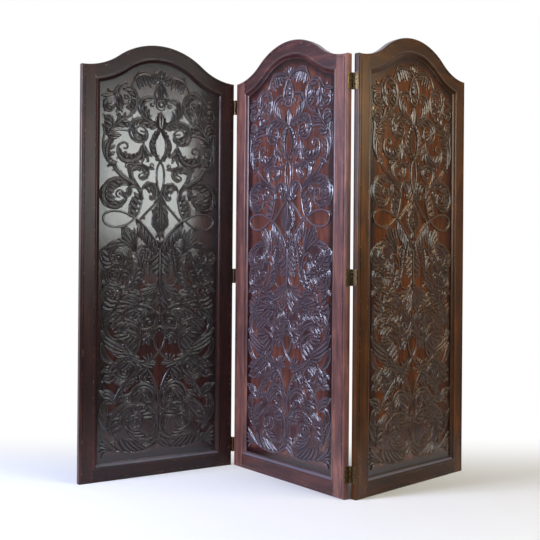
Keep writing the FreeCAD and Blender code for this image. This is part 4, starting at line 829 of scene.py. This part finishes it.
class CarvedBoard:
    """The board of one panel as a height map over the CAD board's own outline."""

    def __init__(self, settings):
        place = PLACES["middle"]
        board = place.board / MM
        self.left, _, self.foot = board.min(0)
        self.right, self.rear, self.crown = board.max(0)
        self.ground = board[board[:, 2] < self.foot + EDGE, 1].min()
        self.middle = place.width / MM / 2
        self.step = settings.grid_step
        shift = self.middle - CENTRE_LINE
        relief = Relief((self.left - shift, self.foot), (self.right - shift, self.crown),
                        settings, self.step)
        for draw in PATTERN:
            draw(relief)
        self.x, self.z = relief.x + shift, relief.z
        rim = board[board[:, 1] > self.rear - EDGE]
        rim = rim[rim[:, 2] > self.foot + (self.crown - self.foot) / 2]
        self.rim = rim[np.argsort(rim[:, 0])]
        self.raise_and_texture(relief.height * settings.depth_scale, settings)

    def smoothed(self, field, radius):
        return blurred(field, max(1, round(radius / self.step)))

    def raise_and_texture(self, height, settings):
        """Leaves shallow tool marks on the ground between the forms, and finds the recesses, which get wax
        and painted shade, and the edges of the board, which get painted shade."""
        random = np.random.default_rng(MARKS_SEED)
        marks = self.smoothed(random.standard_normal(height.shape), TOOL_MARK)
        marks *= settings.chisel_ripple / marks.std()
        self.height = height + marks * np.clip(1 - height, 0, 1)
        self.recess = sum((self.smoothed(self.height, radius) - self.height) * weight
                          for radius, weight in (NEAR_HOLLOWS, WIDE_HOLLOWS)).clip(-1, 1)
        # painted shade along the board's edges, as beside the frame's mouldings
        x, z = np.meshgrid(self.x, self.z)
        inward = np.minimum(np.minimum(x - self.left, self.right - x), z - self.foot)
        inward = np.minimum(inward, self.top_of(x) - z) - settings.plain_edge
        border = np.clip(1 - inward / settings.border_shade_fade, 0, 1)
        self.rise = np.maximum(np.clip(self.height / RELIEF_TONE_HEIGHT, 0, 1), 2 * border)

    def top_of(self, x):
        """Height of the board's arched top edge at x."""
        return np.interp(x, self.rim[:, 0], self.rim[:, 2])

    def sample(self, field, x, z):
        """The field's value at any point, between the four nearest of its own."""
        u = np.clip((x - self.x[0]) / self.step, 0, len(self.x) - SHORT_OF_END)
        v = np.clip((z - self.z[0]) / self.step, 0, len(self.z) - SHORT_OF_END)
        i, j = u.astype(int), v.astype(int)
        u, v = u - i, v - j
        low = field[j, i] * (1 - u) + field[j, i + 1] * u
        high = field[j + 1, i] * (1 - u) + field[j + 1, i + 1] * u
        return low * (1 - v) + high * v

    def surface(self):
        """The carved face as one open mesh in panel coordinates."""
        half = math.ceil((self.middle - self.left) / self.step)
        x = self.middle + np.arange(-half, half + 1) * self.step
        z = np.arange(self.foot, self.crown + self.step, self.step)
        gx, gz = np.meshgrid(np.clip(x, self.left, self.right), z)
        top = self.top_of(gx)
        inside = gz < top - self.step / 2
        gz = np.where(inside, gz, top)
        height = np.where(inside, self.sample(self.height, gx, gz), 0)
        height[0] = height[:, 0] = height[:, -1] = 0
        points = np.stack([gx, self.ground - height, gz], -1).reshape(-1, 3) * MM
        index = np.arange(gx.size).reshape(gx.shape)
        corners = [(slice(0, -1), slice(0, -1)), (slice(0, -1), slice(1, None)),
                   (slice(1, None), slice(1, None)), (slice(1, None), slice(0, -1))]
        faces = np.stack([index[corner] for corner in corners], -1)
        faces = faces[np.any([inside[corner] for corner in corners], axis=0)]
        used = np.unique(faces)
        renumber = np.full(gx.size, -1)
        renumber[used] = np.arange(len(used))
        mesh = bpy.data.meshes.new("carved_face")
        mesh.vertices.add(len(used))
        mesh.vertices.foreach_set("co", points[used].ravel())
        mesh.loops.add(faces.size)
        mesh.loops.foreach_set("vertex_index", renumber[faces].ravel())
        mesh.polygons.add(len(faces))
        mesh.polygons.foreach_set("loop_start", np.arange(0, faces.size, 4))
        mesh.update(calc_edges=True)
        mesh.validate()
        return mesh

    def build(self, settings):
        """The finished board in panel coordinates: thinned face, sides and back."""
        board = bpy.data.objects.new("carved_board", self.surface())
        bpy.context.collection.objects.link(board)
        select_only(board)
        bpy.ops.object.mode_set(mode="EDIT")
        bpy.ops.mesh.select_all(action="SELECT")
        bpy.ops.mesh.remove_doubles(threshold=MM / 100)
        bpy.ops.object.mode_set(mode="OBJECT")
        triangles = 2 * len(board.data.polygons)
        allowed = PLANKS * settings.plank_faces
        if triangles > allowed:
            thin = board.modifiers.new("thin", "DECIMATE")
            thin.ratio = allowed / triangles
            bpy.ops.object.modifier_apply(modifier=thin.name)
        bpy.ops.object.mode_set(mode="EDIT")
        bpy.ops.mesh.select_mode(type="EDGE")
        bpy.ops.mesh.select_all(action="DESELECT")
        bpy.ops.mesh.select_non_manifold()
        bpy.ops.mesh.extrude_region_move(
            TRANSFORM_OT_translate={"value": (0, (self.rear - self.ground) * MM, 0)})
        bpy.ops.mesh.edge_face_add()
        bpy.ops.object.mode_set(mode="OBJECT")
        return board

    def plank(self, board, k):
        """Plank k of those the board is glued up from, cut out along its joints and closed."""
        piece = board.copy()
        piece.data = board.data.copy()
        bpy.context.collection.objects.link(piece)
        select_only(piece)
        bpy.ops.object.mode_set(mode="EDIT")
        width = (self.right - self.left) / PLANKS
        for joint, side in ((k, -1), (k + 1, 1)):
            if 0 < joint < PLANKS:
                bpy.ops.mesh.select_all(action="SELECT")
                bpy.ops.mesh.bisect(plane_co=((self.left + joint * width) * MM, 0, 0),
                                    plane_no=(side, 0, 0), use_fill=True, clear_outer=True)
        bpy.ops.mesh.select_all(action="SELECT")
        bpy.ops.mesh.normals_make_consistent(inside=False)
        bpy.ops.object.mode_set(mode="OBJECT")
        bpy.ops.object.shade_smooth_by_angle(angle=math.radians(SMOOTH_ANGLE))
        mesh = piece.data
        points = np.empty(len(mesh.vertices) * 3)
        mesh.vertices.foreach_get("co", points)
        x, y, z = points.reshape(-1, 3).T / MM
        recess, rise = self.sample(self.recess, x, z), self.sample(self.rise, x, z)
        recess[abs(y - self.ground) < LEVEL] = 0
        for name, values in (("recess", recess), ("rise", rise)):
            values[y > self.ground + EDGE] = 0
            mesh.attributes.new(name, "FLOAT", "POINT").data.foreach_set("value", values)
        return piece


# materials

# numbered sockets of the colour mix: its two inputs and its result
MIX_A, MIX_B, MIXED = 6, 7, 2
# widths in millimetres: pores are 0.3 wide and drawn 1.6 wide, or they would not show; growth
# bands, the ribbon figure across the grain, chips along an arris, patches of tarnish
PORE, BAND, RIBBON, CHIP, TARNISH = 1.6, 28, 90, 12, 6
# how the pattern's scale along the grain stands to its scale across it: pores, bands
PORE_SHARE, BAND_SHARE = 0.035, 0.12
# how far round an arris the chips reach, and how deep pores and the brass's casting marks are
ARRIS_RADIUS, PORE_DEPTH, CASTING_DEPTH = 2.5, 0.2, 0.3


def mahogany_figure(node, place, along, painted_light_tint):
    """Colour and pores of mahogany: fine dark pores, growth bands and a ribbon figure. along
    is the grain's axis in panel coordinates, 0 or 2."""
    looks = bpy.context.scene.screen_finish
    where = node("TexCoord")
    square = node("Mapping", {"Vector": (where, "Object"), "Rotation": (0, 0, -place.yaw)})

    def stretched(ratio):
        scale = [1.0, 1.0, 1.0]
        scale[along] = ratio
        return node("Mapping", {"Vector": square, "Scale": scale})

    pores = node("TexNoise", {"Vector": stretched(PORE_SHARE), "Scale": 1 / (PORE * MM),
                              "Detail": 3.0, "Roughness": 0.6})
    bands = node("TexNoise", {"Vector": stretched(BAND_SHARE), "Scale": 1 / (BAND * MM),
                              "Detail": 4.0, "Roughness": 0.55, "Distortion": 0.6})
    ribbon = node("TexNoise", {"Vector": square, "Scale": 1 / (RIBBON * MM), "Detail": 2.0})
    blend = node("Math", {0: pores, 1: 0.45, 2: bands}, operation="MULTIPLY_ADD")
    figure = node("Math", {0: ribbon, 1: 0.35, 2: blend}, operation="MULTIPLY_ADD")
    spread = node("MapRange", {"Value": figure, "From Min": 0.5, "From Max": 1.3})
    ramp = node("ValToRGB", {"Fac": spread})
    tones = [linear(c) for c in (looks.wood_dark, looks.wood_mid, looks.wood_light)]
    # the grain's tones are multiplied by the panel's painted light and shade
    tones = [tuple(c * t for c, t in zip(tone, painted_light_tint)) + (1,) for tone in tones]
    set_ramp(ramp, list(zip((0.08, 0.5, 0.95), tones)))
    return ramp, pores


def carved_finish(node, wood, wear_and_highlight, worn_and_highlight_colour):
    """Colour and roughness of the carving: the ground lighter, partly as a painted reflection, and
    glossier than the relief, which is darker, partly as painted shade; dark wax and painted shade in the
    recesses, painted shade along the board's edges; and crests painted pale to worn_and_highlight_colour,
    partly worn and partly a painted highlight."""
    looks = bpy.context.scene.screen_finish
    wax_and_shade_colour = linear(looks.wax_and_shade_colour)
    # from 0 to 1, rise goes from ground to relief; from 1 to 2, into the painted shade along the board's
    # edges
    rise = node("Attribute", attribute_name="rise")
    # the ground's and the relief's stain, with a painted reflection on the ground and painted shade on the
    # relief
    stain = node("Mix", {"Factor": (rise, "Fac"), MIX_A: GROUND_STAIN_AND_REFLECTION, MIX_B: RELIEF_STAIN_AND_SHADE},
                 data_type="RGBA")
    stained_and_lit = node("Mix", {"Factor": 1.0, MIX_A: wood, MIX_B: (stain, MIXED)},
                   data_type="RGBA", blend_type="MULTIPLY")
    border_shade_share = node("MapRange", {"Value": (rise, "Fac"), "From Min": 1.0, "From Max": 2.0,
                               "To Max": 0.8})
    border_shaded = node("Mix", {"Factor": border_shade_share, MIX_A: (stained_and_lit, MIXED), MIX_B: wax_and_shade_colour},
                  data_type="RGBA")
    # recess is above 0 in hollows and below 0 on crests
    recess = node("Attribute", attribute_name="recess")
    # crests painted pale: partly worn by rubbing, partly a painted highlight
    rubbed_and_highlit = node("MapRange", {"Value": (recess, "Fac"), "From Min": -0.12, "From Max": -0.7,
                               "To Max": wear_and_highlight})
    crest = node("Mix", {"Factor": rubbed_and_highlit, MIX_A: (border_shaded, MIXED), MIX_B: linear(worn_and_highlight_colour)},
                 data_type="RGBA")
    # hollows darkened nearly to black: partly wax, partly painted shade
    wax = node("MapRange", {"Value": (recess, "Fac"), "From Min": 0.05, "From Max": 0.5,
                            "To Max": 0.92})
    waxed_and_shaded = node("Mix", {"Factor": wax, MIX_A: (crest, MIXED), MIX_B: wax_and_shade_colour},
                 data_type="RGBA")
    gloss = node("MapRange", {"Value": (rise, "Fac"), "To Min": looks.ground_gloss,
                              "To Max": looks.gloss})
    rough = node("Math", {0: wax, 1: 0.35, 2: gloss}, operation="MULTIPLY_ADD")
    return (waxed_and_shaded, MIXED), rough


def frame_finish(node, wood):
    """Colour of the frame: bare chips along the arrises, and a painted highlight, the windows' reflection,
    on the ledges that look up."""
    looks = bpy.context.scene.screen_finish
    softened = node("Bevel", {"Radius": ARRIS_RADIUS * MM}, samples=4)
    true = node("NewGeometry")
    agree = node("VectorMath", {0: softened, 1: (true, "True Normal")}, operation="DOT_PRODUCT")
    arris = node("MapRange", {"Value": (agree, "Value"), "From Min": 0.97, "From Max": 0.8})
    where = node("TexCoord")
    knocks = node("TexNoise", {"Vector": (where, "Object"), "Scale": 1 / (CHIP * MM),
                               "Detail": 3.0})
    chipped = node("MapRange", {"Value": knocks, "From Min": 0.58, "From Max": 0.66,
                                "To Max": 0.9})
    knocked = node("Math", {0: arris, 1: chipped}, operation="MULTIPLY")
    bare = node("Mix", {"Factor": knocked, MIX_A: wood, MIX_B: linear(looks.chip_colour)},
                data_type="RGBA")
    up = node("SeparateXYZ", {0: (true, "True Normal")})
    # painted highlight on the ledges that look up
    ledge_highlight = node("MapRange", {"Value": (up, "Z"), "From Min": 0.3, "From Max": 0.75,
                              "To Max": 0.5})
    ledge_highlit = node("Mix", {"Factor": ledge_highlight, MIX_A: (bare, MIXED), MIX_B: linear(looks.ledge_highlight_colour)},
                 data_type="RGBA")
    return (ledge_highlit, MIXED)


def polished_mahogany(name, place, along, painted_light_tint, wear_and_highlight=0.0, worn_and_highlight_colour=None):
    """Stained mahogany under old French polish, a deep red brown that mirrors the windows, tinted with the
    panel's painted light and shade. On carved wood, which has a worn_and_highlight_colour, the polish also
    lies as a clear coat."""
    looks = bpy.context.scene.screen_finish
    material, node = new_material(name)
    base, pores = mahogany_figure(node, place, along, painted_light_tint)
    if worn_and_highlight_colour:
        base, rough = carved_finish(node, base, wear_and_highlight, worn_and_highlight_colour)
        index, coat = looks.polish_index, looks.polish_weight
    else:
        base, rough = frame_finish(node, base), looks.frame_gloss
        index, coat = looks.frame_index, 0.0
    grain = node("Bump", {"Height": pores, "Strength": 0.1, "Distance": PORE_DEPTH * MM})
    wood = node("BsdfPrincipled",
                {"Base Color": base, "Roughness": rough, "IOR": index, "Normal": grain,
                 "Coat Weight": coat, "Coat Roughness": looks.polish_gloss,
                 "Coat IOR": looks.polish_index})
    node("OutputMaterial", {"Surface": wood})
    return material


def aged_brass(name):
    """Cast brass leaf, once lacquered: brown tarnish with rubbed yellow patches."""
    looks = bpy.context.scene.screen_finish
    material, node = new_material(name)
    where = node("TexCoord")
    patches = node("TexNoise", {"Vector": (where, "Object"), "Scale": 1 / (TARNISH * MM),
                                "Detail": 5.0, "Roughness": 0.65})
    ramp = node("ValToRGB", {"Fac": patches})
    set_ramp(ramp, [(0.38, linear(looks.brass_dark)), (0.62, linear(looks.brass_clean))])
    rough = node("MapRange", {"Value": patches, "From Min": 0.3, "From Max": 0.7,
                              "To Min": 0.5, "To Max": 0.3})
    casting = node("Bump", {"Height": patches, "Strength": 0.4, "Distance": CASTING_DEPTH * MM})
    brass = node("BsdfPrincipled", {"Base Color": ramp, "Metallic": 1.0, "Roughness": rough,
                                    "Normal": casting})
    node("OutputMaterial", {"Surface": brass})
    return material


def studio_paper(name, hex_colour):
    """Matt background paper, lit as paint is; to the camera and in reflections it fades to
    plain white towards the back, so that no horizon shows."""
    material, node = new_material(name)
    paper = node("BsdfDiffuse", {"Color": linear(hex_colour)})
    white = node("Emission", {"Color": (1, 1, 1, 1), "Strength": 1.0})
    ray = node("LightPath")
    seen = node("Math", {0: (ray, "Is Camera Ray"), 1: (ray, "Is Glossy Ray")},
                operation="MAXIMUM")
    seen = node("Math", {0: seen, 1: (ray, "Is Transmission Ray")}, operation="MAXIMUM")
    where = node("TexCoord")
    axes = node("SeparateXYZ", {0: (where, "Object")})
    far = node("MapRange", {"Value": (axes, "Y"), "From Min": -0.2, "From Max": 0.9},
               interpolation_type="SMOOTHSTEP")
    blank = node("Math", {0: seen, 1: far}, operation="MULTIPLY")
    both = node("MixShader", {0: blank, 1: paper, 2: white})
    node("OutputMaterial", {"Surface": both})
    return material


def dim_room(name):
    """A dim world. The camera sees it white, and so do reflections that look past the screen;
    the side behind the camera stays dim in them."""
    world = bpy.data.worlds.new(name)
    world.use_nodes = True
    node = functools.partial(add_node, world.node_tree)
    ray = node("LightPath")
    mirrored = node("Math", {0: (ray, "Is Glossy Ray"), 1: (ray, "Is Transmission Ray")},
                    operation="MAXIMUM")
    direction = node("TexCoord")
    axes = node("SeparateXYZ", {0: (direction, "Generated")})
    past = node("MapRange", {"Value": (axes, "Y"), "From Min": 0.2, "From Max": 0.7})
    mirrored = node("Math", {0: mirrored, 1: past}, operation="MULTIPLY")
    seen = node("Math", {0: (ray, "Is Camera Ray"), 1: mirrored}, operation="MAXIMUM")
    strength = node("MapRange", {"Value": seen, "To Min": 0.1, "To Max": 1.0})
    background = world.node_tree.nodes["Background"]
    background.inputs["Color"].default_value = (1, 1, 1, 1)
    world.node_tree.links.new(strength.outputs[0], background.inputs["Strength"])
    return world


# operators

# half width of the paper and the y where it ends, behind and in front of the screen, and the
# height of its back
PAPER_BACK = (4.6, 8.0)
PAPER_FRONT = (0.95, -0.8)
PAPER_HEIGHT = 8
SENSOR = 36
# name, place, what it is aimed at, width and height, watts, sRGB colour
LAMPS = (
    ("window_right", (1.8, -1.62, 1.62), (-0.5, 0.1, 1.3), (0.9, 0.95), 24, "#eef6f3"),
    ("window_left", (-2.75, -1.4, 1.85), (0, 0, 1.0), (1.0, 0.9), 158, "#d3deff"),
    ("shade_right", (2.5, -0.6, 1.9), (0.5, 0, 1.0), (0.5, 0.5), 12, "#ffdfae"),
    ("wall_right", (2.0, -1.8, 1.75), (-0.5, 0.1, 1.4), (2.2, 1.3), 17, "#dfe8e4"),
    ("skylight", (0.1, -0.5, 3.4), (0.1, 0, 0.2), (2.6, 0.25), 20, "#ffeedb"),
)


def add_lamp(name, place, aim, size, watts, hex_colour):
    data = bpy.data.lights.new(name, "AREA")
    data.shape = "RECTANGLE"
    data.size, data.size_y = size
    data.energy = watts
    data.color = linear(hex_colour)[:3]
    lamp = bpy.data.objects.new(name, data)
    lamp.location = place
    lamp.rotation_euler = (Vector(aim) - Vector(place)).to_track_quat("-Z", "Y").to_euler()
    bpy.context.collection.objects.link(lamp)


def add_camera(stage):
    lens = bpy.data.cameras.new("camera")
    lens.sensor_width = SENSOR
    lens.lens = stage.focal_length
    camera = bpy.data.objects.new("camera", lens)
    camera.location = (stage.camera_side, -stage.camera_distance, stage.camera_height)
    upright = Matrix.Rotation(math.pi / 2 + stage.camera_pitch, 4, "X")
    roll = Matrix.Rotation(stage.camera_roll, 4, "Z")
    camera.rotation_euler = (upright @ roll).to_euler()
    bpy.context.collection.objects.link(camera)
    bpy.context.scene.camera = camera


class SCREEN_OT_stage(bpy.types.Operator):
    """Adds the floor, the backdrop, the lamps and the camera."""

    bl_idname = "screen.stage"
    bl_label = "Stage"

    def execute(self, context):
        stage = context.scene.screen_stage
        context.scene.view_settings.view_transform = "Standard"
        bpy.ops.object.select_all(action="DESELECT")
        bpy.ops.mesh.primitive_plane_add(size=1, location=(0, 0, 0))
        paper = context.object
        for corner in paper.data.vertices:
            half, end = PAPER_BACK if corner.co.y > 0 else PAPER_FRONT
            corner.co = (math.copysign(half, corner.co.x), end, 0)
        bpy.ops.object.mode_set(mode="EDIT")
        bpy.ops.mesh.select_mode(type="EDGE")
        bpy.ops.mesh.select_all(action="DESELECT")
        bpy.ops.object.mode_set(mode="OBJECT")
        for edge in paper.data.edges:
            edge.select = all(paper.data.vertices[k].co.y > 0 for k in edge.vertices)
        bpy.ops.object.mode_set(mode="EDIT")
        bpy.ops.mesh.extrude_region_move(TRANSFORM_OT_translate={"value": (0, 0, PAPER_HEIGHT)})
        bpy.ops.object.mode_set(mode="OBJECT")
        paper.name = "studio_paper"
        paper.data.materials.append(studio_paper("studio_paper", stage.floor_colour))
        for lamp in LAMPS:
            add_lamp(*lamp)
        context.scene.world = dim_room("room")
        add_camera(stage)
        return {"FINISHED"}


class SCREEN_OT_joinery(bpy.types.Operator):
    """Gives the stiles, rails and mouldings their polished mahogany."""

    bl_idname = "screen.joinery"
    bl_label = "Joinery"

    def execute(self, context):
        for name in PANELS:
            place = PLACES[name]
            # each panel's frame gets copies of one mahogany that differ only by painted light and shade
            upright = polished_mahogany(name + "_upright_mahogany", place, 2,
                                        UPRIGHT_PAINTED_LIGHT_TINTS[name])
            level = polished_mahogany(name + "_level_mahogany", place, 0, LEVEL_PAINTED_LIGHT_TINTS[name])
            for node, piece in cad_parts.items():
                if node.startswith(name) and "screws" not in node:
                    lying = node.endswith(("_rail", "_bottom_moulding", "_top_moulding"))
                    for slot in piece.material_slots:
                        slot.material = level if lying else upright
        return {"FINISHED"}


class SCREEN_OT_ironmongery(bpy.types.Operator):
    """Gives the hinges and screws their old brass."""

    bl_idname = "screen.ironmongery"
    bl_label = "Hinges and screws"

    def execute(self, context):
        brass = aged_brass("aged_brass")
        for node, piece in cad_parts.items():
            if "hinge" in node or "screws" in node:
                for slot in piece.material_slots:
                    slot.material = brass
        return {"FINISHED"}


class SCREEN_OT_carving(bpy.types.Operator):
    """Carves one board and sets a copy of it, plank by plank, in each panel."""

    bl_idname = "screen.carving"
    bl_label = "Carved boards"

    def execute(self, context):
        settings = context.scene.screen_carving
        carved = CarvedBoard(settings)
        board = carved.build(settings)
        planks = [carved.plank(board, k) for k in range(PLANKS)]
        for name in PANELS:
            # each panel's carving gets a copy of one mahogany with its own painted light, shade and crest
            # highlight
            wood = polished_mahogany(name + "_carved_mahogany", PLACES[name], 2, PAINTED_LIGHT_TINTS[name],
                                     CREST_WEAR_AND_HIGHLIGHT[name], CREST_WEAR_AND_HIGHLIGHT_COLOURS[name])
            for k, plank in enumerate(planks):
                piece = plank.copy()
                piece.data = plank.data.copy()
                piece.name = piece.data.name = f"{name}_carved_plank_{k + 1}"
                context.collection.objects.link(piece)
                piece.data.transform(PLACES[name].matrix())
                piece.data.materials.append(wood)
                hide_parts(name + "_carved_board")
                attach(piece, name + "_panel")
        for spare in (*planks, board):
            bpy.data.objects.remove(spare)
        return {"FINISHED"}


class SCREEN_PT_sidebar(bpy.types.Panel):
    """Lists the screen's settings and its steps."""

    bl_idname = "SCREEN_PT_sidebar"
    bl_label = "Carved folding screen"
    bl_space_type = "VIEW_3D"
    bl_region_type = "UI"
    bl_category = "Screen"

    def draw(self, context):
        for name in GROUPS:
            group = getattr(context.scene, name)
            column = self.layout.column(heading=group.bl_rna.name)
            for setting in group.bl_rna.properties.keys():
                if setting not in ("rna_type", "name"):
                    column.prop(group, setting)
        for step in STEPS:
            self.layout.operator(step.bl_idname)


STEPS = (SCREEN_OT_stage, SCREEN_OT_joinery, SCREEN_OT_ironmongery, SCREEN_OT_carving)
GROUPS = {"screen_carving": CarvingSettings, "screen_finish": FinishSettings,
          "screen_stage": StageSettings}


def register():
    for kind in (*GROUPS.values(), *STEPS, SCREEN_PT_sidebar):
        bpy.utils.register_class(kind)
    for name, group in GROUPS.items():
        setattr(bpy.types.Scene, name, bpy.props.PointerProperty(type=group))


def unregister():
    for name in GROUPS:
        delattr(bpy.types.Scene, name)
    for kind in reversed((*GROUPS.values(), *STEPS, SCREEN_PT_sidebar)):
        bpy.utils.unregister_class(kind)


def main():
    register()
    bpy.ops.screen.stage()
    bpy.ops.screen.joinery()
    bpy.ops.screen.ironmongery()
    bpy.ops.screen.carving()
    bpy.context.view_layer.update()


if __name__ == "__main__":
    main()
